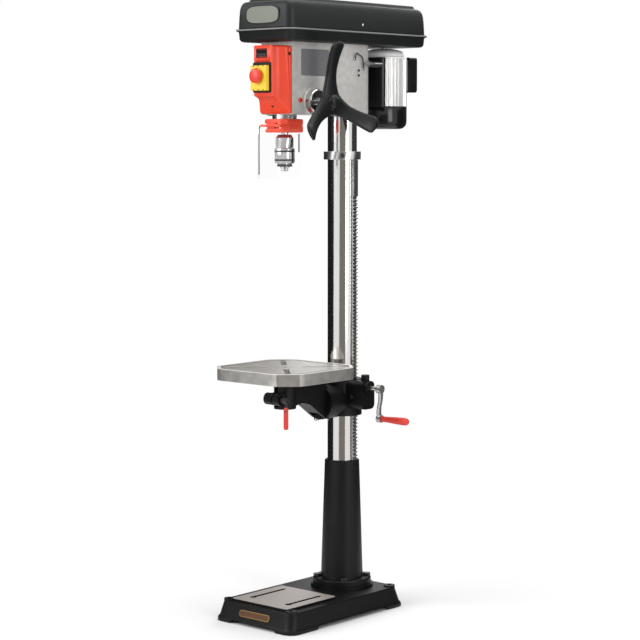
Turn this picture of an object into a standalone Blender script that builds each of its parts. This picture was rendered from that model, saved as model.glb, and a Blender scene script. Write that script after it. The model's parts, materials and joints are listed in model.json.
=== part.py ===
"""Floor-standing drill press, built as an assembly of separate closed solids.

Units are metres and +Z is up.  The machine is laid out around its column: the column's axis is
the machine frame's Z axis, the operator stands at -Y, and +X is at the operator's right hand.
One empty carries the machine and puts the middle of its footprint at the world origin.
"""
import math

import bmesh
import bpy
from mathutils import Matrix, Vector

# ------------------------------------------------------------------ fits
GAP = 0.0003                # between two pieces that touch
FIT = 0.0003                # radial clearance of a shaft or a bar in its hole
TURN_FIT = 0.0005           # the same where a large ring turns on a large shaft
WELD_DISTANCE = 0.00002     # closes the slivers that a Boolean leaves

# ------------------------------------------------------------------ base
BASE_WIDTH = 0.272
BASE_LENGTH = 0.447
BASE_BEHIND = 0.099         # how far the base reaches behind the column axis
BASE_HEIGHT = 0.052
BASE_CORNER = 0.026
BASE_DRAFT = 0.014          # how far the walls lean in from floor to rim
BASE_WALL = 0.008
BASE_TOP_WALL = 0.009
FOOT_HEIGHT = 0.009         # height of the arches between the feet
FOOT_LENGTH = 0.058         # length of a foot along the front edge
FOOT_DEPTH = 0.098          # length of a foot along the long edge
BASE_PAD_WIDTH = 0.190
BASE_PAD_FRONT = 0.014      # from the front edge to the machined pad
BASE_PAD_LENGTH = 0.190
BASE_PAD_RISE = 0.006
BASE_SLOT_SPACING = 0.122
BASE_SLOT_WIDTH = 0.011
BASE_SLOT_KEYHOLE = 0.018
BASE_SLOT_LENGTH = 0.118
BASE_SLOT_START = 0.070     # from the front edge to the near end of the slots
COLUMN_PAD_RADIUS = 0.082
COLUMN_PAD_RISE = 0.008
ANCHOR_RADIUS = 0.006
ANCHOR_BOSS_RADIUS = 0.015
ANCHOR_INSET = 0.030        # of the anchor holes from the edges of the base

# ------------------------------------------------------------------ column and its support
COLUMN_RADIUS = 0.0382
COLUMN_WALL = 0.004
COLUMN_TOP = 1.462
SUPPORT_TOP = 0.390
SUPPORT_FLANGE_RADIUS = 0.077
SUPPORT_FLANGE_THICKNESS = 0.0165
SUPPORT_FOOT_RADIUS = 0.0555
SUPPORT_TOP_RADIUS = 0.0455
BOLT_CIRCLE_RADIUS = 0.066
BOLT_RADIUS = 0.005
BOLT_HEAD_FLATS = 0.017
BOLT_HEAD_HEIGHT = 0.0065
BOLT_LENGTH = 0.036
COLLAR_HEIGHT = 0.021
COLLAR_RADIUS = 0.0485
COLLAR_LOW = 1.176

# ------------------------------------------------------------------ rack, lift gear and bracket
GEAR_MODULE = 0.003
RACK_BACK = COLUMN_RADIUS + 0.0004
RACK_TIP = 0.047
RACK_TOOTH = 0.0045
RACK_WIDTH = 0.016
RACK_PLAIN_TOP = 0.095      # plain length above the last tooth
PINION_TEETH = 10
PINION_ADDENDUM = 0.0020
PINION_HEIGHT = 0.5625      # height of its axis with the table as shown
PINION_SHAFT_RADIUS = 0.005
WHEEL_TEETH = 20
WHEEL_MODULE = 0.00175
WHEEL_WIDTH = 0.008
WORM_PITCH_RADIUS = 0.007
WORM_TURNS = 3
CRANK_SHAFT_RADIUS = 0.006
CRANK_SHAFT_END = 0.143     # from the column axis
CRANK_THROW = 0.077
CRANK_ARM_X = 0.139
CRANK_GRIP_LENGTH = 0.083
CRANK_GRIP_RADIUS = 0.0100
CRANK_PIN_RADIUS = 0.004
CRANK_PIN_LENGTH = 0.076
BRACKET_LOW = 0.509
BRACKET_HIGH = 0.604
BRACKET_RADIUS = 0.052
BRACKET_NOSE = 0.107        # where the worm shaft leaves the gear housing
BRACKET_CLAMP_X = -0.066
CLAMP_SCREW_RADIUS = 0.005
CLAMP_SLIT = 0.003

# ------------------------------------------------------------------ table and its arm
THROAT = 0.2225             # column axis to spindle axis
TABLE_SIZE = 0.290
TABLE_CHAMFER = 0.048
TABLE_TOP = 0.653
TABLE_DEPTH = 0.030
TABLE_PLATE = 0.012
TABLE_SKIRT = 0.009
TABLE_LIP = 0.009           # width of the raised lip around the coolant groove
TABLE_GROOVE = 0.011
TABLE_GROOVE_DEPTH = 0.004
TABLE_SLOT_WIDTH = 0.014
TABLE_SLOT_START = 0.048    # from the table's centre
TABLE_SLOT_END = 0.150
TABLE_HOLE_RADIUS = 0.0085
TABLE_RIB = 0.006
STEM_RADIUS = 0.014
STEM_LOW = 0.548
TILT_HEIGHT = 0.548
TILT_DISC_RADIUS = 0.045
TILT_FACE = 0.066           # from the column axis to the tilt joint's face
TILT_DISC_THICKNESS = 0.026
TILT_BOLT_RADIUS = 0.008
TILT_BOLT_FLATS = 0.024
TILT_BOLT_HEAD = 0.011
ARM_TOP = 0.617
ARM_BOSS_LOW = 0.546
ARM_BOSS_RADIUS = 0.0285
ARM_WIDTH = 0.048
TABLE_CLAMP_Y = 0.036       # of the clamp screw, in front of the table's centre
TABLE_CLAMP_HEIGHT = 0.573
TABLE_CLAMP_RADIUS = 0.0155
TABLE_LEVER_X = 0.036
TABLE_GRIP_LENGTH = 0.050
TABLE_GRIP_RADIUS = 0.006
TABLE_LEVER_REACH = 0.074   # from the clamp screw to the grip's end

# ------------------------------------------------------------------ head
HEAD_LOW = 1.290
PAN_LOW = 1.470             # underside of the belt guard, which lies on the head
HEAD_NOSE_WALL = 0.0045      # of the head, in front of the quill
HEAD_NOSE_WIDTH = 0.104
HEAD_WIDTH = 0.128
HEAD_SHOULDER_FRONT = 0.100
HEAD_SHOULDER_BACK = 0.055
HEAD_BACK_RADIUS = 0.067
HEAD_WALL = 0.009
SWITCH_RISE = 0.051         # of the raised switch panel, in front of the head
SWITCH_BODY_RISE = 0.032    # of the housing around the panel, in front of the head
SWITCH_LOW = 1.300
SWITCH_FRONT_LOW = 1.341
SWITCH_TOP = 1.460
SWITCH_FRONT_WIDTH = 0.060
SWITCH_BODY_WIDTH = 0.088
SWITCH_WALL = 0.003
SWITCH_PLATE_WIDTH = 0.058
SWITCH_PLATE_LOW = 1.343
SWITCH_PLATE_HIGH = 1.418
SWITCH_PLATE_THICKNESS = 0.004
FLAP_WIDTH = 0.052
FLAP_LOW = 1.348
FLAP_HIGH = 1.410
FLAP_THICKNESS = 0.012
FLAP_WALL = 0.002
STOP_RADIUS = 0.0180
STOP_HEAD = 0.013
STOP_STEM_RADIUS = 0.008
STOP_TRAVEL = 0.004
STOP_HEIGHT = 1.384
START_RADIUS = 0.006
START_X = 0.016
START_HEIGHT = 1.398
ROCKER_WIDTH = 0.030
ROCKER_HALF_HEIGHT = 0.0085
ROCKER_HEIGHT = 1.4405
ROCKER_X = -0.003
ROCKER_SWING_ROOM = 0.0014  # above and below the rocker, for its corners

# ------------------------------------------------------------------ quill, spindle and chuck
QUILL_RADIUS = 0.025
QUILL_TOP = 1.420
QUILL_LOW = 1.250
QUILL_FLANGE_RADIUS = 0.031
QUILL_BORE = 0.012
BEARING_RADIUS = 0.0187
BEARING_HEIGHT = 0.014
SPINDLE_RADIUS = 0.010
SPINDLE_NOSE_LOW = 1.212
SPLINE_RADIUS = 0.008
SPINDLE_TOP = 1.545
CHUCK_TOP = 1.240
CHUCK_RADIUS = 0.019
CHUCK_SLEEVE_RADIUS = 0.025
CHUCK_SLEEVE_LOW = 1.168
CHUCK_SLEEVE_HIGH = 1.207
CHUCK_LOW = 1.158
JAW_RADIUS = 0.0038
JAW_LENGTH = 0.034
JAW_TIP = 1.148
JAW_TIP_OFFSET = 0.0056     # of each jaw's axis from the spindle axis at its tip
JAW_LEAN = math.radians(12)
FEED_OFFSET = 0.0183          # feed shaft axis, behind the face of the quill's rack
FEED_HEIGHT = 1.322
FEED_TEETH = 20
FEED_PITCH_RADIUS = 0.019
FEED_TOOTH = 0.0026
FEED_PINION_WIDTH = 0.024
FEED_SHAFT_RADIUS = 0.009
QUILL_FLAT_DEPTH = 0.0008     # of the rack's face, under the surface of the quill
FEED_BOSS = 0.061           # from the middle of the head to the face of each feed boss
FEED_BOSS_RADIUS = 0.033
DEPTH_RING_RADIUS = 0.032
DEPTH_RING_WIDTH = 0.017
HANDLE_HUB_X = 0.101
HANDLE_HUB_LENGTH = 0.036
HANDLE_HUB_RADIUS = 0.0175
HANDLE_REACH = 0.148
HANDLE_TIP_X = 0.158
HANDLE_ANGLE = math.radians(-5)     # of the first spoke from straight up, toward the back
SPRING_CAP_DEPTH = 0.030
SPRING_CAP_RADIUS = 0.034
SPRING_TURNS = 4
SPRING_PITCH = 0.0048
SPRING_STRIP = 0.0009

# ------------------------------------------------------------------ chuck guard
CLAMP_LOW = 1.245
CLAMP_HIGH = 1.279
CLAMP_WIDTH = 0.078
CLAMP_FRONT = 0.044         # from the spindle axis to the clamp's front face
CLAMP_BACK = 0.040
SHIELD_WIDTH = 0.088
SHIELD_DEPTH = 0.074
SHIELD_WALL = 0.0025
SHIELD_LOW = 1.129
SHIELD_PIN_RADIUS = 0.003
SHIELD_LUG_RADIUS = 0.006
SHIELD_PIN_HEIGHT = 1.262

# ------------------------------------------------------------------ belt drive and guard
GUARD_WIDTH = 0.186
GUARD_REACH = 0.0805        # of the belt guard, in front of the spindle axis
GUARD_BACK = 0.2375
GUARD_CORNER = 0.018
GUARD_RIM = 1.5016          # top of the pan, where the lid rests
GUARD_TOP = 1.578
GUARD_WALL = 0.0025
GUARD_LIP = 0.005
HINGE_RADIUS = 0.0025
HINGE_LENGTH = 0.045
HINGE_PLACES = (-0.190, 0.100)      # where each hinge bead starts along the left side
PULLEY_LOW = 1.484
PULLEY_STEP = 0.0135
SPINDLE_STEPS = (0.066, 0.056, 0.046, 0.036)
IDLER_STEPS = (0.038, 0.048, 0.058, 0.068)
MOTOR_STEPS = (0.058, 0.048, 0.038, 0.028)
FRONT_BELT_STEP = 1         # counted from the lowest step
REAR_BELT_STEP = 2
GROOVE_DEPTH = 0.009
GROOVE_FLOOR = 0.0066
BELT_TOP = 0.0096
BELT_FLOOR = 0.0066
BELT_INSET = 0.001          # of the belt's back below the pulley's rim
BELT_THICKNESS = 0.0065
DRIVE_SLEEVE_RADIUS = 0.0137
IDLER_Y = -0.057
IDLER_POST_RADIUS = 0.008

# ------------------------------------------------------------------ motor
MOTOR_Y = 0.168
MOTOR_RADIUS = 0.0615
MOTOR_LOW = 1.315
MOTOR_HIGH = 1.440
MOTOR_FINS = 24
MOTOR_FIN_DEPTH = 0.004
MOTOR_CAP_TOP = 1.467
COWL_LOW = 1.255
COWL_WALL = 0.002
ROTOR_RADIUS = 0.035
MOTOR_SHAFT_RADIUS = 0.007
MOTOR_TRAVEL = 0.012        # forward travel that slackens the belts
PLATE_FRONT = 0.090
PLATE_THICKNESS = 0.016
PLATE_WIDTH = 0.122
TERMINAL_WIDTH = 0.078
TERMINAL_LOW = 1.353
TERMINAL_HIGH = 1.446
TERMINAL_BACK = 0.262
TERMINAL_FACE = 0.230       # where the box meets the motor's pad
CAPACITOR_RADIUS = 0.0135
SLIDE_BAR_RADIUS = 0.008
SLIDE_BAR_X = 0.0515
SLIDE_BAR_HEIGHT = 1.422
SLIDE_BAR_LENGTH = 0.112
TENSION_KNOB_Y = 0.017
TENSION_KNOB_REACH = 0.022

# ------------------------------------------------------------------ derived places
BASE_FRONT_Y = BASE_BEHIND - BASE_LENGTH
COLUMN_FOOT = BASE_HEIGHT + COLUMN_PAD_RISE
SPINDLE_Y = -THROAT
QUILL_FLAT = QUILL_RADIUS - QUILL_FLAT_DEPTH
FEED_Y = THROAT - QUILL_FLAT - FEED_OFFSET
HEAD_FRONT = THROAT + QUILL_RADIUS + HEAD_NOSE_WALL
SWITCH_FRONT = HEAD_FRONT + SWITCH_RISE
SWITCH_BODY_FRONT = HEAD_FRONT + SWITCH_BODY_RISE
GUARD_FRONT = THROAT + GUARD_REACH
PINION_RADIUS = GEAR_MODULE * PINION_TEETH / 2
PINION_X = RACK_TIP - PINION_ADDENDUM + PINION_RADIUS
WHEEL_RADIUS = WHEEL_MODULE * WHEEL_TEETH / 2
WHEEL_Y = -(RACK_WIDTH / 2 + GAP + WHEEL_WIDTH / 2)
WORM_HEIGHT = PINION_HEIGHT + WHEEL_RADIUS + WORM_PITCH_RADIUS
GRIP_HEIGHT = WORM_HEIGHT - CRANK_THROW
CLAMP_Y = SPINDLE_Y - TABLE_CLAMP_Y
HANDLE_END_X = CRANK_ARM_X + 0.011 + CRANK_GRIP_LENGTH
MACHINE_X = -(HANDLE_END_X - TABLE_SIZE / 2) / 2
MACHINE_Y = -(TERMINAL_BACK + SPINDLE_Y - TABLE_SIZE / 2) / 2
SHIELD_PIN_Y = SPINDLE_Y - CLAMP_FRONT - SHIELD_LUG_RADIUS - GAP
HINGE_X = -(GUARD_WIDTH / 2 + HINGE_RADIUS + GAP)
HINGE_HEIGHT = GUARD_RIM + HINGE_RADIUS - 0.0005


# ================================================================== modelling helpers
def clear_scene():
    for item in list(bpy.data.objects):
        bpy.data.objects.remove(item, do_unlink=True)


def material(name, colour, roughness, metallic=0.0, transmission=0.0):
    """A Principled material, made once and then reused by name."""
    found = bpy.data.materials.get(name)
    if found:
        return found
    made = bpy.data.materials.new(name)
    made.use_nodes = True
    shader = made.node_tree.nodes["Principled BSDF"]
    shader.inputs["Base Color"].default_value = (*colour, 1.0)
    shader.inputs["Roughness"].default_value = roughness
    shader.inputs["Metallic"].default_value = metallic
    shader.inputs["Transmission Weight"].default_value = transmission
    made.diffuse_color = (*colour, 1.0)
    return made


def black_paint():
    return material("black_paint", (0.012, 0.012, 0.013), 0.45)


def silver_paint():
    return material("silver_paint", (0.56, 0.55, 0.54), 0.42, 0.3)


def orange_plastic():
    return material("orange_plastic", (0.80, 0.075, 0.022), 0.40)


def red_plastic():
    return material("red_plastic", (0.75, 0.03, 0.02), 0.35)


def yellow_plastic():
    return material("yellow_plastic", (0.90, 0.62, 0.04), 0.40)


def black_plastic():
    return material("black_plastic", (0.015, 0.015, 0.016), 0.35)


def bright_steel():
    return material("bright_steel", (0.62, 0.61, 0.60), 0.25, 1.0)


def ground_iron():
    return material("ground_iron", (0.48, 0.46, 0.44), 0.38, 0.9)


def cast_aluminium():
    return material("cast_aluminium", (0.72, 0.72, 0.71), 0.40, 0.8)


def belt_rubber():
    return material("belt_rubber", (0.02, 0.02, 0.02), 0.70)


def clear_plastic():
    return material("clear_plastic", (0.95, 0.97, 0.98), 0.05, 0.0, 0.9)


def spot(axis, first, second, along):
    """A point from its place across and along an axis: X takes (y, z), Y (x, z) and Z (x, y)."""
    if axis == "X":
        return Vector((along, first, second))
    if axis == "Y":
        return Vector((first, along, second))
    return Vector((first, second, along))


def skin(rings, loop=False):
    """A closed mesh over rings of equal count.  Its ends are capped unless the rings make a loop."""
    shape = bmesh.new()
    rows = [[shape.verts.new(point) for point in ring] for ring in rings]
    count = len(rows[0])
    pairs = list(zip(rows, rows[1:]))
    if loop:
        pairs.append((rows[-1], rows[0]))
    else:
        shape.faces.new(rows[0])
        shape.faces.new(rows[-1])
    for low, high in pairs:
        for k in range(count):
            after = (k + 1) % count
            shape.faces.new((low[k], low[after], high[after], high[k]))
    bmesh.ops.recalc_face_normals(shape, faces=shape.faces)
    return shape


def prism(outline, axis, low, high):
    return skin([[spot(axis, a, b, along) for a, b in outline] for along in (low, high)])


def turned(profile, axis, centre=(0.0, 0.0), segments=24):
    """A body of revolution.  The profile is a closed polygon of (radius, place along the axis)."""
    shape = bmesh.new()
    rings = []
    for radius, along in profile:
        if radius == 0:
            rings.append([shape.verts.new(spot(axis, *centre, along))] * segments)
            continue
        turns = (math.tau * k / segments for k in range(segments))
        rings.append([
            shape.verts.new(spot(axis, centre[0] + radius * math.cos(t),
                                 centre[1] + radius * math.sin(t), along))
            for t in turns
        ])
    for low, high in zip(rings, rings[1:] + rings[:1]):
        for k in range(segments):
            after = (k + 1) % segments
            corners = list(dict.fromkeys((low[k], low[after], high[after], high[k])))
            if len(corners) > 2:
                shape.faces.new(corners)
    bmesh.ops.recalc_face_normals(shape, faces=shape.faces)
    return shape


def cylinder(radius, axis, centre, low, high, segments=24):
    return turned([(0, low), (radius, low), (radius, high), (0, high)], axis, centre, segments)


def tube(inner, outer, axis, centre, low, high, segments=24):
    return turned([(inner, low), (outer, low), (outer, high), (inner, high)], axis, centre, segments)


def box(low, high):
    (x0, y0, z0), (x1, y1, z1) = low, high
    return prism([(x0, y0), (x1, y0), (x1, y1), (x0, y1)], "Z", z0, z1)


def arc(centre, radius, start, end, steps):
    """Points on an arc, angles in degrees."""
    angles = (math.radians(start + (end - start) * k / steps) for k in range(steps + 1))
    return [(centre[0] + radius * math.cos(t), centre[1] + radius * math.sin(t)) for t in angles]


def circle(radius, steps, centre=(0.0, 0.0), start=0.0):
    return arc(centre, radius, start, start + 360 * (steps - 1) / steps, steps - 1)


def rounded(low, high, radius, steps=4):
    """A rectangle with round corners."""
    (a0, b0), (a1, b1) = low, high
    r = min(radius, (a1 - a0) / 2.001, (b1 - b0) / 2.001)
    points = []
    corners = ((a1 - r, b1 - r, 0), (a0 + r, b1 - r, 90), (a0 + r, b0 + r, 180), (a1 - r, b0 + r, 270))
    for a, b, start in corners:
        points += arc((a, b), r, start, start + 90, steps)
    return points


def capsule(start, end, radius, steps=6):
    """The outline of a slot with round ends."""
    heading = math.degrees(math.atan2(end[1] - start[1], end[0] - start[0]))
    return (arc(end, radius, heading - 90, heading + 90, steps)
            + arc(start, radius, heading + 90, heading + 270, steps))


def gear(teeth, root, tip, root_half, tip_half, centre=(0.0, 0.0), start=0.0):
    """A gear's outline.  The half widths are lengths on the root and tip circles; start is in radians."""
    points = []
    for k in range(teeth):
        middle = start + math.tau * k / teeth
        for radius, side in ((root, -root_half / root), (tip, -tip_half / tip), (tip, tip_half / tip),
                             (root, root_half / root)):
            points.append((centre[0] + radius * math.cos(middle + side),
                           centre[1] + radius * math.sin(middle + side)))
    return points


def hexagon(flats, centre=(0.0, 0.0)):
    return circle(flats / math.sqrt(3), 6, centre, 30)


def pivot(name, place, parent):
    """An empty on a joint's axis, at a place given in the machine frame."""
    empty = bpy.data.objects.new(name, None)
    bpy.context.collection.objects.link(empty)
    empty.empty_display_size = 0.03
    empty["place"] = list(place)
    if parent:
        empty.parent = parent
        empty.location = Vector(place) - Vector(parent["place"])
    else:
        empty.location = Vector(place)
    return empty


def add_object(name, shape, parent, offset):
    mesh = bpy.data.meshes.new(name)
    shape.to_mesh(mesh)
    shape.free()
    item = bpy.data.objects.new(name, mesh)
    bpy.context.collection.objects.link(item)
    item.parent = parent
    item.location = offset
    return item


def piece(name, shape, paint, carrier, smooth=True):
    """One sub-part.  Its mesh is laid out in the machine frame and hangs under its joint's empty."""
    item = add_object(name, shape, carrier, -Vector(carrier["place"]))
    item.data.materials.append(paint)
    if smooth:
        item.data.shade_smooth()
        item.data.set_sharp_from_angle(angle=math.radians(35))
    return item


def work(target, shape, operation):
    """Fuse a shape to a piece, or cut it away, with a live Boolean."""
    count = len(target.modifiers) // 2 + 1
    helper = add_object(f"{target.name}_{operation.lower()}_{count}", shape, target, Vector())
    helper.hide_render = True
    helper.display_type = "WIRE"
    step = target.modifiers.new(f"{operation.lower()}_{count}", "BOOLEAN")
    step.operation = operation
    step.solver = "EXACT"
    step.object = helper
    tidy = target.modifiers.new(f"weld_{count}", "WELD")
    tidy.merge_threshold = WELD_DISTANCE


def fuse(target, *shapes):
    for shape in shapes:
        work(target, shape, "UNION")


def cut(target, *shapes):
    for shape in shapes:
        work(target, shape, "DIFFERENCE")


# ================================================================== base and column
def base_ring(inset, height):
    low = (-BASE_WIDTH / 2 + inset, BASE_FRONT_Y + inset)
    high = (BASE_WIDTH / 2 - inset, BASE_BEHIND - inset)
    return [Vector((x, y, height)) for x, y in rounded(low, high, BASE_CORNER, 3)]


def base_anchor_places():
    side = BASE_WIDTH / 2 - ANCHOR_INSET
    for x in (-side, side):
        for y in (BASE_FRONT_Y + ANCHOR_INSET, BASE_BEHIND - ANCHOR_INSET):
            yield x, y


def support_bolt_places():
    return circle(BOLT_CIRCLE_RADIUS, 4, (0, 0), 45)


def base_casting(machine):
    inner_roof = BASE_HEIGHT - BASE_TOP_WALL
    body = skin([base_ring(0, 0), base_ring(0, 0.008), base_ring(0.004, 0.014),
                 base_ring(BASE_DRAFT - 0.002, BASE_HEIGHT - 0.003), base_ring(BASE_DRAFT, BASE_HEIGHT)])
    base = piece("base_casting", body, black_paint(), machine)
    pad_front = BASE_FRONT_Y + BASE_PAD_FRONT + 0.012
    pad_half = BASE_PAD_WIDTH / 2
    fuse(base,
         prism(rounded((-pad_half, pad_front), (pad_half, pad_front + BASE_PAD_LENGTH), 0.008, 3), "Z",
               BASE_HEIGHT - 0.003, BASE_HEIGHT + BASE_PAD_RISE),
         cylinder(COLUMN_PAD_RADIUS, "Z", (0, 0), BASE_HEIGHT - 0.003, COLUMN_FOOT))
    for x, y in base_anchor_places():
        fuse(base, cylinder(ANCHOR_BOSS_RADIUS, "Z", (x, y), inner_roof, BASE_HEIGHT + 0.0035, 12))
    cut(base, skin([base_ring(BASE_WALL, -0.01), base_ring(BASE_DRAFT + BASE_WALL, inner_roof)]))
    for x, y in list(base_anchor_places()) + support_bolt_places():
        cut(base, cylinder(ANCHOR_RADIUS, "Z", (x, y), 0.01, COLUMN_FOOT + 0.01, 10))
    start = BASE_FRONT_Y + BASE_SLOT_START
    for x in (-BASE_SLOT_SPACING / 2, BASE_SLOT_SPACING / 2):
        cut(base, prism(capsule((x, start), (x, start + BASE_SLOT_LENGTH), BASE_SLOT_WIDTH / 2, 4), "Z",
                        inner_roof - 0.01, BASE_HEIGHT + 0.02),
            cylinder(BASE_SLOT_KEYHOLE / 2, "Z", (x, start), inner_roof - 0.01, BASE_HEIGHT + 0.02, 12))
    half = BASE_WIDTH / 2 - FOOT_LENGTH
    near, far = BASE_FRONT_Y + FOOT_DEPTH, BASE_BEHIND - FOOT_DEPTH * 0.7
    slope = FOOT_HEIGHT * 0.8
    cut(base,
        prism([(-half - slope, -0.005), (half + slope, -0.005), (half - slope, FOOT_HEIGHT),
               (-half + slope, FOOT_HEIGHT)], "Y", BASE_FRONT_Y - 0.05, BASE_BEHIND + 0.05),
        prism([(near - slope, -0.005), (far + slope, -0.005), (far - slope, FOOT_HEIGHT),
               (near + slope, FOOT_HEIGHT)], "X", -BASE_WIDTH, BASE_WIDTH))


def column_support(machine):
    low = COLUMN_FOOT + GAP
    inner = COLUMN_RADIUS + FIT
    step = low + SUPPORT_FLANGE_THICKNESS
    profile = [(inner, low), (SUPPORT_FLANGE_RADIUS, low), (SUPPORT_FLANGE_RADIUS, step - 0.003),
               (SUPPORT_FLANGE_RADIUS - 0.003, step), (SUPPORT_FOOT_RADIUS + 0.001, step),
               (SUPPORT_FOOT_RADIUS, step + 0.006), (SUPPORT_TOP_RADIUS, SUPPORT_TOP - 0.003),
               (SUPPORT_TOP_RADIUS - 0.003, SUPPORT_TOP), (inner, SUPPORT_TOP)]
    support = piece("column_support", turned(profile, "Z"), black_paint(), machine)
    for place in support_bolt_places():
        cut(support, cylinder(BOLT_RADIUS + FIT, "Z", place, low - 0.01, step + 0.01, 10))
    for k, place in enumerate(support_bolt_places(), 1):
        bolt = piece(f"support_bolt_{k}", prism(hexagon(BOLT_HEAD_FLATS, place), "Z", step + GAP,
                                                step + GAP + BOLT_HEAD_HEIGHT), bright_steel(), machine)
        fuse(bolt, cylinder(BOLT_RADIUS, "Z", place, step - BOLT_LENGTH, step + 0.002, 10))


def column(machine):
    low = COLUMN_FOOT + GAP
    piece("column_tube", tube(COLUMN_RADIUS - COLUMN_WALL, COLUMN_RADIUS, "Z", (0, 0), low, COLUMN_TOP),
          bright_steel(), machine)
    piece("rack_collar", tube(COLUMN_RADIUS + FIT, COLLAR_RADIUS, "Z", (0, 0), COLLAR_LOW,
                              COLLAR_LOW + COLLAR_HEIGHT), bright_steel(), machine)


# ================================================================== rack, bracket and lift gear
def rack(carrier):
    low, high = SUPPORT_TOP + GAP, COLLAR_LOW - GAP
    root = RACK_TIP - RACK_TOOTH
    pitch = math.pi * GEAR_MODULE
    tooth_half = pitch / 4 - 0.0003
    lean = math.tan(math.radians(20))
    tip_half = tooth_half - PINION_ADDENDUM * lean
    root_half = tooth_half + (RACK_TOOTH - PINION_ADDENDUM) * lean
    first = math.ceil((low + root_half - PINION_HEIGHT) / pitch)
    last = math.floor((high - RACK_PLAIN_TOP - PINION_HEIGHT) / pitch)
    outline = [(RACK_BACK, high), (RACK_BACK, low), (root, low)]
    for k in range(first, last + 1):
        middle = PINION_HEIGHT + k * pitch
        outline += [(root, middle - root_half), (RACK_TIP, middle - tip_half), (RACK_TIP, middle + tip_half),
                    (root, middle + root_half)]
    plain = PINION_HEIGHT + (last + 1) * pitch
    outline += [(root, plain), (RACK_TIP, plain), (RACK_TIP, high)]
    piece("rack", prism(outline, "Y", -RACK_WIDTH / 2, RACK_WIDTH / 2), bright_steel(), carrier, False)


def table_bracket(carrier):
    height = (BRACKET_LOW, BRACKET_HIGH)
    bracket = piece("table_bracket", cylinder(BRACKET_RADIUS, "Z", (0, 0), *height), black_paint(), carrier)
    housing_front, housing_back = WHEEL_Y - 0.020, 0.018
    nose = (WHEEL_Y, WORM_HEIGHT)
    fuse(bracket,
         prism(rounded((housing_front, 0.530), (housing_back, BRACKET_HIGH - 0.001), 0.013, 3), "X",
               0.020, 0.096),
         cylinder(0.0155, "X", nose, 0.090, BRACKET_NOSE, 16),
         cylinder(0.011, "Z", (0.078, 0.002), 0.595, 0.618, 12),
         cylinder(TILT_DISC_RADIUS, "Y", (0, TILT_HEIGHT), -TILT_FACE, -0.030, 20),
         box((BRACKET_CLAMP_X - 0.013, -0.018, 0.530), (-0.040, 0.018, 0.584)))
    bore = COLUMN_RADIUS + TURN_FIT
    cut(bracket,
        cylinder(bore, "Z", (0, 0), BRACKET_LOW - 0.01, BRACKET_HIGH + 0.01),
        box((0.020, -RACK_WIDTH / 2 - 0.0006, BRACKET_LOW - 0.01),
            (RACK_TIP + 0.0006, RACK_WIDTH / 2 + 0.0006, BRACKET_HIGH + 0.01)),
        cylinder(PINION_RADIUS + 0.0025, "Y", (PINION_X, PINION_HEIGHT), -RACK_WIDTH / 2 - 0.001,
                 RACK_WIDTH / 2 + 0.0005, 16),
        cylinder(WHEEL_RADIUS + 0.002, "Y", (PINION_X, PINION_HEIGHT), WHEEL_Y - WHEEL_WIDTH / 2 - 0.0005,
                 -RACK_WIDTH / 2 + 0.0002, 20),
        cylinder(WORM_PITCH_RADIUS + 0.002, "X", nose, 0.0405, 0.071, 16),
        cylinder(CRANK_SHAFT_RADIUS + FIT, "X", nose, 0.060, BRACKET_NOSE + 0.01, 16),
        cylinder(PINION_SHAFT_RADIUS + FIT, "Y", (PINION_X, PINION_HEIGHT), housing_front - 0.01,
                 housing_back - 0.003, 12),
        cylinder(TILT_BOLT_RADIUS + FIT, "Y", (0, TILT_HEIGHT), -TILT_FACE - 0.01, -bore - 0.004, 16),
        box((-0.090, -CLAMP_SLIT / 2, BRACKET_LOW - 0.01), (-0.030, CLAMP_SLIT / 2, BRACKET_HIGH + 0.01)),
        cylinder(CLAMP_SCREW_RADIUS + FIT, "Y", (BRACKET_CLAMP_X, 0.557), -0.030, 0.014, 12))


def tilt_bolt(carrier):
    face = -(TILT_FACE + TILT_DISC_THICKNESS + 2 * GAP)
    centre = (0, TILT_HEIGHT)
    bolt = piece("tilt_bolt", prism(hexagon(TILT_BOLT_FLATS, centre), "Y", face - TILT_BOLT_HEAD, face),
                 bright_steel(), carrier)
    fuse(bolt, cylinder(TILT_BOLT_RADIUS, "Y", centre, face - 0.002, -COLUMN_RADIUS - 0.006, 12))


def column_lock_lever(carrier):
    centre = (BRACKET_CLAMP_X, 0.557)
    lever = piece("column_lock_lever", cylinder(0.009, "Y", centre, -0.033, -0.018 - GAP, 16),
                  bright_steel(), carrier)
    fuse(lever, cylinder(CLAMP_SCREW_RADIUS, "Y", centre, -0.020, 0.0135, 10),
         cylinder(0.004, "Z", (BRACKET_CLAMP_X, -0.027), 0.520, 0.554, 10),
         turned([(0, 0.486), (0.005, 0.487), (0.007, 0.491), (0.006, 0.528), (0, 0.529)], "Z",
                (BRACKET_CLAMP_X, -0.027), 12))


def lift_pinion(carrier):
    centre = (PINION_X, PINION_HEIGHT)
    half_tooth = math.pi * GEAR_MODULE / 4 - 0.0003
    outline = gear(PINION_TEETH, PINION_RADIUS - 0.0030, PINION_RADIUS + 0.0014, half_tooth + 0.0005,
                   half_tooth - 0.0009, centre, math.pi / PINION_TEETH)
    pinion = piece("lift_pinion", prism(outline, "Y", -RACK_WIDTH / 2, RACK_WIDTH / 2), bright_steel(),
                   carrier, False)
    half_tooth = math.pi * WHEEL_MODULE / 4 - 0.0003
    wheel = gear(WHEEL_TEETH, WHEEL_RADIUS - 0.0018, WHEEL_RADIUS + 0.0012, half_tooth + 0.0003,
                 half_tooth - 0.0004, centre, math.pi / 2 + math.pi / WHEEL_TEETH)
    fuse(pinion,
         prism(wheel, "Y", WHEEL_Y - WHEEL_WIDTH / 2, WHEEL_Y + WHEEL_WIDTH / 2),
         cylinder(WHEEL_RADIUS - 0.005, "Y", centre, WHEEL_Y, -RACK_WIDTH / 2 + 0.001, 16),
         cylinder(PINION_SHAFT_RADIUS, "Y", centre, WHEEL_Y - 0.019, 0.0145, 12))


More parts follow.
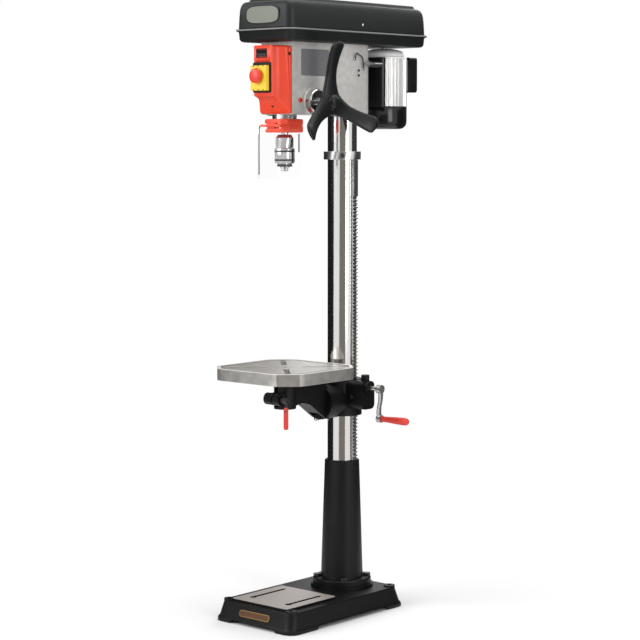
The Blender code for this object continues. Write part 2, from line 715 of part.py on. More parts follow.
def worm_shaft(carrier):
    """The worm's thread is a radius that varies along a helix; the plain shaft follows it."""
    lead = math.pi * WHEEL_MODULE
    rows, segments = 6 * WORM_TURNS, 10
    start = PINION_X - lead * WORM_TURNS / 2

    def radius_at(along, angle):
        place = (along - PINION_X) / lead - (angle + math.pi / 2) / math.tau
        away = abs(place - round(place)) * lead
        flank = min(1.0, max(0.0, (away - 0.00035) / 0.0006))
        return WORM_PITCH_RADIUS + 0.0011 - 0.0029 * flank

    rings = []
    for row in range(rows + 1):
        along = start + lead * WORM_TURNS * row / rows
        ring = []
        for k in range(segments):
            angle = math.tau * k / segments
            radius = radius_at(along, angle)
            y, z = WHEEL_Y + radius * math.cos(angle), WORM_HEIGHT + radius * math.sin(angle)
            ring.append(Vector((along, y, z)))
        rings.append(ring)
    for along in (rings[-1][0].x + 0.001, CRANK_SHAFT_END):
        rings.append([Vector((along, y, z)) for y, z in
                      circle(CRANK_SHAFT_RADIUS, segments, (WHEEL_Y, WORM_HEIGHT))])
    piece("worm_shaft", skin(rings), bright_steel(), carrier)


def crank(carrier, grip_carrier):
    centre = (WHEEL_Y, WORM_HEIGHT)
    hub_low, hub_high = CRANK_ARM_X - 0.007, CRANK_ARM_X + 0.007
    arm = piece("crank_arm", cylinder(0.0115, "X", centre, hub_low, hub_high, 16), cast_aluminium(), carrier)
    rings = []
    for k in range(6):
        share = k / 5
        bend = 0.004 * math.sin(math.tau * share)
        half = 0.0085 - 0.002 * math.sin(math.pi * share)
        height = WORM_HEIGHT - CRANK_THROW * share
        rings.append([Vector((CRANK_ARM_X + x, WHEEL_Y + bend + y, height))
                      for x, y in rounded((-0.004, -half), (0.004, half), 0.0035, 2)])
    fuse(arm, skin(rings), cylinder(0.010, "X", (WHEEL_Y, GRIP_HEIGHT), hub_low + 0.001, hub_high, 16),
         cylinder(CRANK_PIN_RADIUS, "X", (WHEEL_Y, GRIP_HEIGHT), hub_high - 0.002,
                  hub_high + CRANK_PIN_LENGTH, 12))
    cut(arm, cylinder(CRANK_SHAFT_RADIUS + FIT, "X", centre, hub_low - 0.01, CRANK_SHAFT_END + GAP, 16))
    low = hub_high + 0.001
    high = CRANK_ARM_X + 0.011 + CRANK_GRIP_LENGTH
    bore = CRANK_PIN_RADIUS + FIT
    bore_end = hub_high + CRANK_PIN_LENGTH + 2 * GAP
    profile = [(bore, low), (CRANK_GRIP_RADIUS - 0.002, low), (CRANK_GRIP_RADIUS - 0.0025, low + 0.014),
               (CRANK_GRIP_RADIUS, high - 0.022), (CRANK_GRIP_RADIUS, high - 0.008),
               (CRANK_GRIP_RADIUS - 0.003, high - 0.002), (0, high), (0, bore_end), (bore, bore_end)]
    piece("crank_grip", turned(profile, "X", (WHEEL_Y, GRIP_HEIGHT), 16), red_plastic(), grip_carrier)


# ================================================================== table
def table_arm(carrier):
    disc_front = -(TILT_FACE + GAP + TILT_DISC_THICKNESS)
    centre = (0, SPINDLE_Y)
    arm = piece("table_arm", cylinder(TILT_DISC_RADIUS, "Y", (0, TILT_HEIGHT), disc_front,
                                      -TILT_FACE - GAP, 20), black_paint(), carrier)
    web = [(disc_front + 0.012, ARM_TOP - 0.030), (disc_front - 0.020, ARM_TOP - 0.008),
           (SPINDLE_Y, ARM_TOP - 0.006), (SPINDLE_Y, ARM_BOSS_LOW + 0.004),
           (SPINDLE_Y + 0.040, ARM_BOSS_LOW + 0.012), (SPINDLE_Y + 0.070, ARM_BOSS_LOW + 0.004),
           (disc_front - 0.020, TILT_HEIGHT - 0.026), (disc_front + 0.002, TILT_HEIGHT - 0.041),
           (disc_front + 0.012, TILT_HEIGHT - 0.041)]
    half = ARM_WIDTH / 2
    fuse(arm, prism(web, "X", -half, half),
         cylinder(ARM_BOSS_RADIUS, "Z", centre, ARM_BOSS_LOW, ARM_TOP, 20),
         box((-0.024, CLAMP_Y, TABLE_CLAMP_HEIGHT - 0.014),
             (0.018, SPINDLE_Y - 0.016, TABLE_CLAMP_HEIGHT + 0.014)),
         cylinder(TABLE_CLAMP_RADIUS, "X", (CLAMP_Y, TABLE_CLAMP_HEIGHT), -0.028, 0.022, 16))
    cut(arm, cylinder(STEM_RADIUS + FIT, "Z", centre, ARM_BOSS_LOW - 0.01, ARM_TOP + 0.01, 20),
        box((-CLAMP_SLIT / 2, CLAMP_Y - 0.03, ARM_BOSS_LOW - 0.01),
            (CLAMP_SLIT / 2, SPINDLE_Y, ARM_TOP + 0.01)),
        cylinder(CLAMP_SCREW_RADIUS + FIT, "X", (CLAMP_Y, TABLE_CLAMP_HEIGHT), -0.022, 0.03, 12),
        cylinder(TILT_BOLT_RADIUS + FIT, "Y", (0, TILT_HEIGHT), disc_front - 0.02, -TILT_FACE + 0.01, 16),
        box((-0.017, disc_front - 0.022, 0.480), (0.017, disc_front, TILT_HEIGHT + 0.017)))


def table_lock_lever(carrier):
    centre = (CLAMP_Y, TABLE_CLAMP_HEIGHT)
    lever = piece("table_lock_lever", cylinder(0.0085, "X", centre, 0.022 + GAP, TABLE_LEVER_X + 0.006, 16),
                  bright_steel(), carrier)
    handle = (TABLE_LEVER_X, CLAMP_Y)
    grip_end = TABLE_CLAMP_HEIGHT - TABLE_LEVER_REACH
    fuse(lever, cylinder(CLAMP_SCREW_RADIUS, "X", centre, -0.0215, 0.024, 10),
         cylinder(0.004, "Z", handle, grip_end + 0.040, TABLE_CLAMP_HEIGHT, 10),
         turned([(0, grip_end), (TABLE_GRIP_RADIUS - 0.002, grip_end), (TABLE_GRIP_RADIUS, grip_end + 0.003),
                 (TABLE_GRIP_RADIUS, grip_end + TABLE_GRIP_LENGTH - 0.002),
                 (TABLE_GRIP_RADIUS - 0.001, grip_end + TABLE_GRIP_LENGTH),
                 (0, grip_end + TABLE_GRIP_LENGTH)], "Z", handle, 12))


def table_outline(inset):
    """A square with its corners cut off, and every edge of the cuts softened."""
    half = TABLE_SIZE / 2 - inset
    near = half - TABLE_CHAMFER + inset * 0.6
    points = []
    for quarter in range(4):
        turn = Matrix.Rotation(math.pi / 2 * quarter, 2)
        for a, b in ((half, near - 0.012), (half - 0.003, near + 0.004), (near + 0.004, half - 0.003),
                     (near - 0.012, half)):
            x, y = turn @ Vector((a, b))
            points.append((x, SPINDLE_Y + y))
    return points


def table(carrier):
    low = TABLE_TOP - TABLE_DEPTH
    roof = TABLE_TOP - TABLE_PLATE
    centre = (0, SPINDLE_Y)
    plate = piece("table", prism(table_outline(0), "Z", low, TABLE_TOP), ground_iron(), carrier)
    cut(plate, prism(table_outline(TABLE_SKIRT), "Z", low - 0.01, roof),
        prism(table_outline(TABLE_LIP), "Z", TABLE_TOP - TABLE_GROOVE_DEPTH, TABLE_TOP + 0.01))
    reach = TABLE_SIZE / 2 - TABLE_SKIRT + 0.002
    rib = TABLE_RIB / 2
    fuse(plate, prism(table_outline(TABLE_LIP + TABLE_GROOVE), "Z", roof + 0.002, TABLE_TOP - 0.0008),
         box((-reach, SPINDLE_Y - rib, low + 0.004), (reach, SPINDLE_Y + rib, roof + 0.001)),
         box((-rib, SPINDLE_Y - reach, low + 0.004), (rib, SPINDLE_Y + reach, roof + 0.001)),
         cylinder(0.022, "Z", centre, low + 0.002, roof + 0.001, 16),
         cylinder(STEM_RADIUS, "Z", centre, STEM_LOW, roof, 20))
    diagonal = math.sqrt(0.5)
    for side, front in ((1, 1), (-1, 1), (-1, -1), (1, -1)):
        near, far = ((side * diagonal * r, SPINDLE_Y + front * diagonal * r)
                     for r in (TABLE_SLOT_START, TABLE_SLOT_END))
        cut(plate, prism(capsule(near, far, TABLE_SLOT_WIDTH / 2, 4), "Z", low - 0.01, TABLE_TOP + 0.01))
    cut(plate, cylinder(TABLE_HOLE_RADIUS, "Z", centre, STEM_LOW - 0.01, TABLE_TOP + 0.01, 16))


# ================================================================== head and switch
def head_casting(machine):
    nose, half = HEAD_NOSE_WIDTH / 2, HEAD_WIDTH / 2
    top = PAN_LOW - GAP
    turn = math.degrees(math.acos(half / HEAD_BACK_RADIUS))
    outline = [(-nose, -HEAD_FRONT), (nose, -HEAD_FRONT), (nose, -HEAD_SHOULDER_FRONT),
               (half, -HEAD_SHOULDER_BACK)]
    outline += arc((0, 0), HEAD_BACK_RADIUS, turn, 180 - turn, 11)
    outline += [(-half, -HEAD_SHOULDER_BACK), (-nose, -HEAD_SHOULDER_FRONT)]
    head = piece("head_casting", prism(outline, "Z", HEAD_LOW, top), silver_paint(), machine)
    feed = (-FEED_Y, FEED_HEIGHT)
    quill = (0, SPINDLE_Y)
    fuse(head, cylinder(FEED_BOSS_RADIUS - 0.002, "X", feed, -FEED_BOSS, FEED_BOSS, 20))
    cut(head,
        cylinder(COLUMN_RADIUS + FIT, "Z", (0, 0), HEAD_LOW - 0.01, COLUMN_TOP + GAP),
        cylinder(QUILL_RADIUS + FIT, "Z", quill, HEAD_LOW - 0.01, QUILL_TOP + 0.004, 20),
        cylinder(DRIVE_SLEEVE_RADIUS + FIT, "Z", quill, QUILL_TOP, top + 0.01, 16),
        box((-nose + HEAD_WALL, -FEED_Y + 0.015, HEAD_LOW + HEAD_WALL),
            (nose - HEAD_WALL, -0.078, top + 0.01)),
        cylinder(FEED_PITCH_RADIUS + 0.0015, "X", feed, -FEED_PINION_WIDTH / 2 - 0.001,
                 FEED_PINION_WIDTH / 2 + 0.001, 16),
        cylinder(IDLER_POST_RADIUS + FIT, "Z", (0, IDLER_Y), 1.420, top + 0.01, 16),
        cylinder(0.0033, "X", (TENSION_KNOB_Y, SLIDE_BAR_HEIGHT), SLIDE_BAR_X + 0.004, 0.08, 10))
    for side in (-1, 1):
        cut(head, cylinder(SLIDE_BAR_RADIUS + FIT, "Y", (side * SLIDE_BAR_X, SLIDE_BAR_HEIGHT),
                           PLATE_FRONT - SLIDE_BAR_LENGTH - MOTOR_TRAVEL - 0.002, 0.08, 16))
    cut(head, cylinder(FEED_SHAFT_RADIUS + FIT, "X", feed, -0.08, 0.08, 16))


def switch_section(y, half, low, high, corner):
    return [spot("Y", x, z, y) for x, z in rounded((-half, low), (half, high), corner, 3)]


def switch_housing(machine):
    back = -(HEAD_FRONT + GAP)
    sizes = [(back, HEAD_NOSE_WIDTH / 2, SWITCH_LOW, 0.006),
             (-SWITCH_BODY_FRONT + 0.008, SWITCH_BODY_WIDTH / 2 + 0.002, SWITCH_LOW, 0.006),
             (-SWITCH_BODY_FRONT, SWITCH_BODY_WIDTH / 2 - 0.006, SWITCH_LOW + 0.012, 0.006),
             (-SWITCH_BODY_FRONT - 0.003, SWITCH_FRONT_WIDTH / 2 + 0.001, SWITCH_LOW + 0.016, 0.006),
             (-SWITCH_FRONT, SWITCH_FRONT_WIDTH / 2, SWITCH_FRONT_LOW, 0.004)]
    outer = [switch_section(y, half, low, SWITCH_TOP, corner) for y, half, low, corner in sizes]
    inner = [switch_section(y + SWITCH_WALL, half - SWITCH_WALL, low + SWITCH_WALL, SWITCH_TOP - SWITCH_WALL,
                            corner) for y, half, low, corner in sizes]
    inner.insert(0, switch_section(back + 0.02, HEAD_NOSE_WIDTH / 2 - SWITCH_WALL, SWITCH_LOW + SWITCH_WALL,
                                   SWITCH_TOP - SWITCH_WALL, 0.006))
    housing = piece("switch_housing", skin(outer), orange_plastic(), machine)
    cut(housing, skin(inner),
        box((ROCKER_X - ROCKER_WIDTH / 2 - GAP, -SWITCH_FRONT - 0.01,
             ROCKER_HEIGHT - ROCKER_HALF_HEIGHT - ROCKER_SWING_ROOM),
            (ROCKER_X + ROCKER_WIDTH / 2 + GAP, -SWITCH_FRONT + 0.01,
             ROCKER_HEIGHT + ROCKER_HALF_HEIGHT + ROCKER_SWING_ROOM)),
        box((-0.023, -SWITCH_FRONT - 0.01, SWITCH_PLATE_LOW + 0.008),
            (0.023, -SWITCH_FRONT + 0.01, SWITCH_PLATE_HIGH - 0.008)))


def switch_controls(machine, pivots):
    back = -(SWITCH_FRONT + GAP)
    face = back - SWITCH_PLATE_THICKNESS
    half = SWITCH_PLATE_WIDTH / 2
    plate_outline = rounded((-half, SWITCH_PLATE_LOW), (half, SWITCH_PLATE_HIGH), 0.004, 3)
    plate = piece("switch_base", prism(plate_outline, "Y", face, back), black_plastic(), machine)
    start = (START_X, START_HEIGHT)
    cut(plate, cylinder(START_RADIUS + FIT, "Y", start, face - 0.01, back + 0.01, 16))
    piece("start_button", cylinder(START_RADIUS, "Y", start, face - 0.003, back, 16),
          material("green_plastic", (0.03, 0.35, 0.08), 0.35), pivots["start_press"])
    flap_back = face - GAP
    flap_front = flap_back - FLAP_THICKNESS
    half = FLAP_WIDTH / 2
    flap_outline = rounded((-half, FLAP_LOW), (half, FLAP_HIGH), 0.004, 3)
    flap = piece("switch_flap", prism(flap_outline, "Y", flap_front, flap_back), yellow_plastic(),
                 pivots["flap_swing"])
    inner = half - FLAP_WALL
    stop = (0, STOP_HEIGHT)
    cut(flap, prism(rounded((-inner, FLAP_LOW + FLAP_WALL), (inner, FLAP_HIGH - FLAP_WALL), 0.003, 3), "Y",
                    flap_front + FLAP_WALL, flap_back + 0.01),
        cylinder(STOP_STEM_RADIUS + FIT, "Y", stop, flap_front - 0.01, flap_front + 0.005, 16))
    head_back = flap_front - STOP_TRAVEL - GAP
    head_front = head_back - STOP_HEAD
    stem_end = face - GAP - STOP_TRAVEL
    piece("stop_mushroom", turned([(0, stem_end), (STOP_STEM_RADIUS, stem_end), (STOP_STEM_RADIUS, head_back),
                                   (STOP_RADIUS - 0.001, head_back), (STOP_RADIUS, head_back - 0.002),
                                   (STOP_RADIUS - 0.0005, head_front + 0.006),
                                   (STOP_RADIUS - 0.005, head_front + 0.0015), (0, head_front)],
                                  "Y", stop, 20), red_plastic(), pivots["stop_press"])
    low, high = ROCKER_HEIGHT - ROCKER_HALF_HEIGHT, ROCKER_HEIGHT + ROCKER_HALF_HEIGHT
    profile = [(-SWITCH_FRONT - 0.001, low), (-SWITCH_FRONT + 0.001, ROCKER_HEIGHT),
               (-SWITCH_FRONT - 0.003, high), (-SWITCH_FRONT + 0.011, high - 0.002),
               (-SWITCH_FRONT + 0.011, low + 0.002)]
    piece("light_rocker", prism(profile, "X", ROCKER_X - ROCKER_WIDTH / 2, ROCKER_X + ROCKER_WIDTH / 2),
          black_plastic(), pivots["rocker_tilt"], False)


# ================================================================== quill, spindle and chuck
def quill(carrier):
    axis = (0, SPINDLE_Y)
    flange_top = HEAD_LOW - GAP
    lower_seat, upper_seat = BEARING_RADIUS + FIT, BEARING_RADIUS - 0.003 + FIT
    upper_low, lower_high = QUILL_TOP - BEARING_HEIGHT, QUILL_LOW + BEARING_HEIGHT
    profile = [(lower_seat, QUILL_LOW), (QUILL_FLANGE_RADIUS, QUILL_LOW), (QUILL_FLANGE_RADIUS, flange_top),
               (QUILL_RADIUS, flange_top), (QUILL_RADIUS, QUILL_TOP), (upper_seat, QUILL_TOP),
               (upper_seat, upper_low), (QUILL_BORE, upper_low), (QUILL_BORE, lower_high),
               (lower_seat, lower_high)]
    body = piece("quill", turned(profile, "Z", axis, 20), bright_steel(), carrier)
    pitch = math.tau * FEED_PITCH_RADIUS / FEED_TEETH
    front, back = SPINDLE_Y + QUILL_FLAT - FEED_TOOTH, SPINDLE_Y + QUILL_FLAT
    comb = [(back + 0.004, FEED_HEIGHT - 3.5 * pitch), (back, FEED_HEIGHT - 3.5 * pitch)]
    for k in range(-3, 16):
        middle = FEED_HEIGHT + k * pitch
        comb += [(back, middle - 0.0023), (front, middle - 0.0013), (front, middle + 0.0013),
                 (back, middle + 0.0023)]
    comb.append((back + 0.004, comb[-1][1]))
    cut(body, prism(comb, "X", -FEED_PINION_WIDTH / 2 - 0.001, FEED_PINION_WIDTH / 2 + 0.001))
    for name, low, outer in (("quill_bearing_lower", QUILL_LOW + GAP, BEARING_RADIUS),
                             ("quill_bearing_upper", upper_low + GAP, BEARING_RADIUS - 0.003)):
        piece(name, tube(SPINDLE_RADIUS + FIT, outer, "Z", axis, low, low + BEARING_HEIGHT - 2 * GAP, 16),
              bright_steel(), carrier)


def spindle_and_chuck(spin, sleeve_turn, jaw_slides):
    axis = (0, SPINDLE_Y)
    nose_top = CHUCK_TOP + 0.004
    piece("spindle", turned([(0, SPINDLE_NOSE_LOW), (0.0075, SPINDLE_NOSE_LOW), (0.0092, nose_top),
                             (SPINDLE_RADIUS, nose_top + 0.002), (SPINDLE_RADIUS, QUILL_TOP + 0.002),
                             (SPLINE_RADIUS, QUILL_TOP + 0.004), (SPLINE_RADIUS, SPINDLE_TOP - 0.001),
                             (SPLINE_RADIUS - 0.001, SPINDLE_TOP), (0, SPINDLE_TOP)], "Z", axis, 16),
          bright_steel(), spin)
    core = CHUCK_RADIUS
    shoulder = CHUCK_SLEEVE_HIGH + GAP
    profile = [(0, CHUCK_LOW), (core - 0.006, CHUCK_LOW), (core, CHUCK_SLEEVE_LOW - 0.002), (core, shoulder),
               (core + 0.0035, shoulder), (core + 0.0035, CHUCK_TOP - 0.008), (core - 0.002, CHUCK_TOP),
               (0, CHUCK_TOP)]
    body = piece("chuck_body", turned(profile, "Z", axis, 16), bright_steel(), spin)
    socket_low = SPINDLE_NOSE_LOW - 0.002
    socket = [(0, socket_low), (0.0075 + FIT, socket_low), (0.0075 + FIT, SPINDLE_NOSE_LOW),
              (0.0092 + FIT, nose_top), (0.0092 + FIT, nose_top + 0.01), (0, nose_top + 0.01)]
    cut(body, turned(socket, "Z", axis, 16),
        cylinder(JAW_TIP_OFFSET - 0.001, "Z", axis, CHUCK_LOW - 0.01, JAW_TIP + JAW_LENGTH - 0.004, 12))
    sleeve_outline = gear(16, CHUCK_SLEEVE_RADIUS - 0.001, CHUCK_SLEEVE_RADIUS, 0.0030, 0.0022, axis)
    sleeve = piece("chuck_sleeve", prism(sleeve_outline, "Z", CHUCK_SLEEVE_LOW, CHUCK_SLEEVE_HIGH),
                   bright_steel(), sleeve_turn)
    cut(sleeve, cylinder(core + TURN_FIT, "Z", axis, CHUCK_SLEEVE_LOW - 0.01, CHUCK_SLEEVE_HIGH + 0.01, 16))
    for number, carrier in enumerate(jaw_slides, 1):
        facing = math.tau * (number - 1) / 3
        inward = Vector((-math.cos(facing), -math.sin(facing), 0)) * math.sin(JAW_LEAN)
        down = inward + Vector((0, 0, -math.cos(JAW_LEAN)))
        tip = Vector((math.cos(facing) * JAW_TIP_OFFSET, SPINDLE_Y + math.sin(facing) * JAW_TIP_OFFSET,
                      JAW_TIP))
        lean = Vector((0, 0, -1)).rotation_difference(down).to_matrix().to_4x4()
        hole = cylinder(JAW_RADIUS + FIT, "Z", (0, 0), -0.01, JAW_LENGTH + 0.009, 12)
        hole.transform(Matrix.Translation(tip) @ lean)
        cut(body, hole)
        jaw = turned([(0, 0), (JAW_RADIUS - 0.002, 0), (JAW_RADIUS, 0.003), (JAW_RADIUS, JAW_LENGTH),
                      (0, JAW_LENGTH)], "Z", (0, 0), 12)
        jaw.transform(Matrix.Translation(tip) @ lean)
        piece(f"chuck_jaw_{number}", jaw, bright_steel(), carrier)


def feed(carrier, ring_carrier, machine):
    axis = (-FEED_Y, FEED_HEIGHT)
    left_end = -(FEED_BOSS + SPRING_CAP_DEPTH - 0.006)
    right_end = HANDLE_HUB_X + HANDLE_HUB_LENGTH - 0.008
    shaft = piece("feed_shaft", cylinder(FEED_SHAFT_RADIUS, "X", axis, left_end, right_end, 16),
                  bright_steel(), carrier)
    pinion = gear(FEED_TEETH, FEED_PITCH_RADIUS - 0.0016, FEED_PITCH_RADIUS + 0.0006, 0.0018, 0.0009, axis,
                  math.pi)
    fuse(shaft, prism(pinion, "X", -FEED_PINION_WIDTH / 2, FEED_PINION_WIDTH / 2))
    ring_low = FEED_BOSS + GAP
    profile = [(FEED_SHAFT_RADIUS + FIT, ring_low), (DEPTH_RING_RADIUS, ring_low),
               (DEPTH_RING_RADIUS, ring_low + DEPTH_RING_WIDTH - 0.003),
               (DEPTH_RING_RADIUS - 0.003, ring_low + DEPTH_RING_WIDTH),
               (FEED_SHAFT_RADIUS + FIT, ring_low + DEPTH_RING_WIDTH)]
    piece("depth_ring", turned(profile, "X", axis, 24), bright_steel(), ring_carrier)
    hub_end = HANDLE_HUB_X + HANDLE_HUB_LENGTH
    hub = [(0, HANDLE_HUB_X), (HANDLE_HUB_RADIUS - 0.002, HANDLE_HUB_X),
           (HANDLE_HUB_RADIUS, HANDLE_HUB_X + 0.012), (HANDLE_HUB_RADIUS, hub_end - 0.010),
           (HANDLE_HUB_RADIUS - 0.006, hub_end), (0, hub_end)]
    handle = piece("feed_handle", turned(hub, "X", axis, 16), black_plastic(), carrier)
    for k in range(3):
        fuse(handle, feed_spoke(HANDLE_ANGLE + math.tau * k / 3))
    cut(handle, cylinder(FEED_SHAFT_RADIUS + FIT, "X", axis, HANDLE_HUB_X - 0.01, hub_end - 0.008 + GAP, 16))
    cap_face = -(FEED_BOSS + GAP)
    cap_back = cap_face - SPRING_CAP_DEPTH
    cap = piece("spring_cap", cylinder(SPRING_CAP_RADIUS, "X", axis, cap_back, cap_face, 20), black_paint(),
                machine)
    cut(cap, cylinder(SPRING_CAP_RADIUS - 0.0025, "X", axis, cap_back + 0.003, 0, 20))
    return_spring(cap_face - 0.003, machine)


def feed_spoke(angle):
    """One spoke of the one-piece handle: it sweeps outward along the shaft and widens to a paddle."""
    axis = Vector((0, -FEED_Y, FEED_HEIGHT))
    outward = Vector((0, math.sin(angle), math.cos(angle)))
    across = Vector((0, math.cos(angle), -math.sin(angle)))
    along = Vector((1, 0, 0))
    middle = HANDLE_HUB_X + HANDLE_HUB_LENGTH / 2
    steps = 6
    rings = []
    for k in range(steps + 1):
        share = k / steps
        reach = 0.006 + (HANDLE_REACH - 0.006) * share
        x = middle + (HANDLE_TIP_X - middle) * share ** 1.6
        half = 0.0095 + 0.0075 * max(0.0, share - 0.45) / 0.55 + 0.004 * (1 - share) ** 3
        thick = 0.0080 - 0.0015 * share
        if k == steps:
            half, thick = half * 0.6, thick * 0.6
        slope = 0.18 + 0.25 * share
        facing = (along - outward * slope).normalized()
        rings.append([axis + along * x + outward * reach + across * a * half + facing * b * thick
                      for a, b in circle(1.0, 8)])
    return skin(rings)


def return_spring(face, machine):
    """A flat strip wound round the feed shaft inside its cap."""
    turns, per_turn = SPRING_TURNS, 12
    outer, inner = [], []
    for k in range(turns * per_turn + 1):
        angle = math.tau * k / per_turn
        radius = FEED_SHAFT_RADIUS + 0.0008 + SPRING_PITCH * k / per_turn
        for side, ring in ((0, inner), (SPRING_STRIP, outer)):
            ring.append((-FEED_Y + (radius + side) * math.cos(angle),
                         FEED_HEIGHT + (radius + side) * math.sin(angle)))
    piece("return_spring", prism(outer + inner[::-1], "X", face - 0.016, face), bright_steel(), machine)


# ================================================================== chuck guard
def chuck_guard(clamp_carrier, shield_carrier):
    half = CLAMP_WIDTH / 2
    front, back = SPINDLE_Y - CLAMP_FRONT, SPINDLE_Y + CLAMP_BACK
    pin = (SHIELD_PIN_Y, SHIELD_PIN_HEIGHT)
    axis = (0, SPINDLE_Y)
    outline = rounded((-half, front), (half, back), 0.022, 4)
    clamp = piece("guard_clamp", prism(outline, "Z", CLAMP_LOW, CLAMP_HIGH), orange_plastic(), clamp_carrier)
    cut(clamp, cylinder(QUILL_FLANGE_RADIUS + FIT, "Z", axis, QUILL_LOW - GAP, CLAMP_HIGH + 0.01, 20),
        cylinder(BEARING_RADIUS, "Z", axis, CLAMP_LOW - 0.01, CLAMP_HIGH, 20))
    fuse(clamp, box((-0.011, SHIELD_PIN_Y, SHIELD_PIN_HEIGHT - 0.005),
                    (0.011, front + 0.004, SHIELD_PIN_HEIGHT + 0.005)),
         cylinder(SHIELD_LUG_RADIUS, "X", pin, -0.012, 0.012, 12),
         cylinder(SHIELD_PIN_RADIUS, "X", pin, -0.034, 0.034, 12))
    outer = SHIELD_WIDTH / 2
    front = SHIELD_PIN_Y - 0.008
    back = front + SHIELD_DEPTH
    wall = SHIELD_WALL
    top = SHIELD_PIN_HEIGHT - 0.008
    outline = ([(-outer, back)] + arc((-outer + 0.012, front + 0.012), 0.012, 180, 270, 4)
               + arc((outer - 0.012, front + 0.012), 0.012, 270, 360, 4)
               + [(outer, back), (outer - wall, back)]
               + arc((outer - 0.012, front + 0.012), 0.012 - wall, 360, 270, 4)
               + arc((-outer + 0.012, front + 0.012), 0.012 - wall, 270, 180, 4) + [(-outer + wall, back)])
    shield = piece("chuck_guard", prism(outline, "Z", SHIELD_LOW, top), clear_plastic(), shield_carrier)
    for side in (-1, 1):
        x0, x1 = sorted((side * 0.016, side * 0.030))
        fuse(shield, box((x0, front, top - 0.004), (x1, SHIELD_PIN_Y + 0.001, SHIELD_PIN_HEIGHT)),
             cylinder(SHIELD_LUG_RADIUS, "X", pin, x0, x1, 12))
        cut(shield, cylinder(SHIELD_PIN_RADIUS + FIT, "X", pin, x0 - 0.002, x1 + 0.002, 12))


# ================================================================== belt drive and its guard
def guard_ring(inset, height):
    low = (-GUARD_WIDTH / 2 + inset, -GUARD_FRONT + inset)
    high = (GUARD_WIDTH / 2 - inset, GUARD_BACK - inset)
    return [Vector((x, y, height)) for x, y in rounded(low, high, GUARD_CORNER, 3)]


def guard_pan(machine):
    lip = -GUARD_LIP
    pan = piece("guard_pan", skin([guard_ring(0.007, PAN_LOW), guard_ring(0.003, PAN_LOW + 0.003),
                                   guard_ring(0, GUARD_RIM - 0.006), guard_ring(lip, GUARD_RIM - 0.004),
                                   guard_ring(lip, GUARD_RIM)]), black_paint(), machine)
    floor = PAN_LOW + GUARD_WALL
    cut(pan, skin([guard_ring(0.008 + GUARD_WALL, floor), guard_ring(0.003 + GUARD_WALL, floor + 0.003),
                   guard_ring(GUARD_WALL, GUARD_RIM - 0.006), guard_ring(GUARD_WALL, GUARD_RIM + 0.01)]),
        cylinder(DRIVE_SLEEVE_RADIUS + 0.0012, "Z", (0, SPINDLE_Y), PAN_LOW - 0.01, floor + 0.01, 20),
        cylinder(IDLER_POST_RADIUS + 0.0006, "Z", (0, IDLER_Y), PAN_LOW - 0.01, floor + 0.01, 16),
        prism(capsule((0, MOTOR_Y - MOTOR_TRAVEL), (0, MOTOR_Y), MOTOR_SHAFT_RADIUS + 0.002), "Z",
              PAN_LOW - 0.01, floor + 0.01))
    for y in HINGE_PLACES:
        fuse(pan, cylinder(HINGE_RADIUS, "Y", (HINGE_X, HINGE_HEIGHT), y, y + HINGE_LENGTH, 10),
             box((HINGE_X - HINGE_RADIUS, y, GUARD_RIM - 0.001),
                 (HINGE_X + 0.001, y + HINGE_LENGTH, HINGE_HEIGHT)))


def guard_lid(carrier):
    low = GUARD_RIM + GAP
    outer = [(0, low), (0.002, low + 0.048), (0.006, low + 0.0615), (0.012, low + 0.067),
             (0.020, low + 0.069), (0.026, GUARD_TOP)]
    lid = piece("guard_lid", skin([guard_ring(*ring) for ring in outer]), black_paint(), carrier)
    inner = [guard_ring(GUARD_WALL, low - 0.01)]
    inner += [guard_ring(inset + GUARD_WALL, height - GUARD_WALL) for inset, height in outer[1:]]
    cut(lid, skin(inner))


def pulley(name, centre_y, steps, bore, carrier, sleeve_low=None):
    low = PULLEY_LOW
    profile = [(bore, low)]
    if sleeve_low:
        profile = [(bore, sleeve_low), (DRIVE_SLEEVE_RADIUS, sleeve_low), (DRIVE_SLEEVE_RADIUS, low)]
    floor = (PULLEY_STEP - GROOVE_FLOOR) / 2
    for number, radius in enumerate(steps):
        bottom, top = low + number * PULLEY_STEP, low + (number + 1) * PULLEY_STEP
        profile += [(radius, bottom), (radius - GROOVE_DEPTH, bottom + floor),
                    (radius - GROOVE_DEPTH, top - floor), (radius, top)]
    profile.append((bore, low + len(steps) * PULLEY_STEP))
    piece(name, turned(profile, "Z", (0, centre_y), 16), cast_aluminium(), carrier)


def belt(name, front_y, front_radius, back_y, back_radius, step, machine):
    """A V belt round two pulleys, one behind the other."""
    lean = math.degrees(math.asin((front_radius - back_radius) / (back_y - front_y)))
    middle = PULLEY_LOW + (step + 0.5) * PULLEY_STEP
    outer_drop, inner_drop = BELT_INSET, BELT_INSET + BELT_THICKNESS

    def loop(drop, height):
        points = arc((0, front_y), front_radius - drop, 180 - lean, 360 + lean, 14)
        points += arc((0, back_y), back_radius - drop, lean, 180 - lean, 14)
        return [Vector((x, y, height)) for x, y in points]

    sides = [loop(inner_drop, middle - BELT_FLOOR / 2), loop(outer_drop, middle - BELT_TOP / 2),
             loop(outer_drop, middle + BELT_TOP / 2), loop(inner_drop, middle + BELT_FLOOR / 2)]
    piece(name, skin(list(zip(*sides)), loop=True), belt_rubber(), machine)


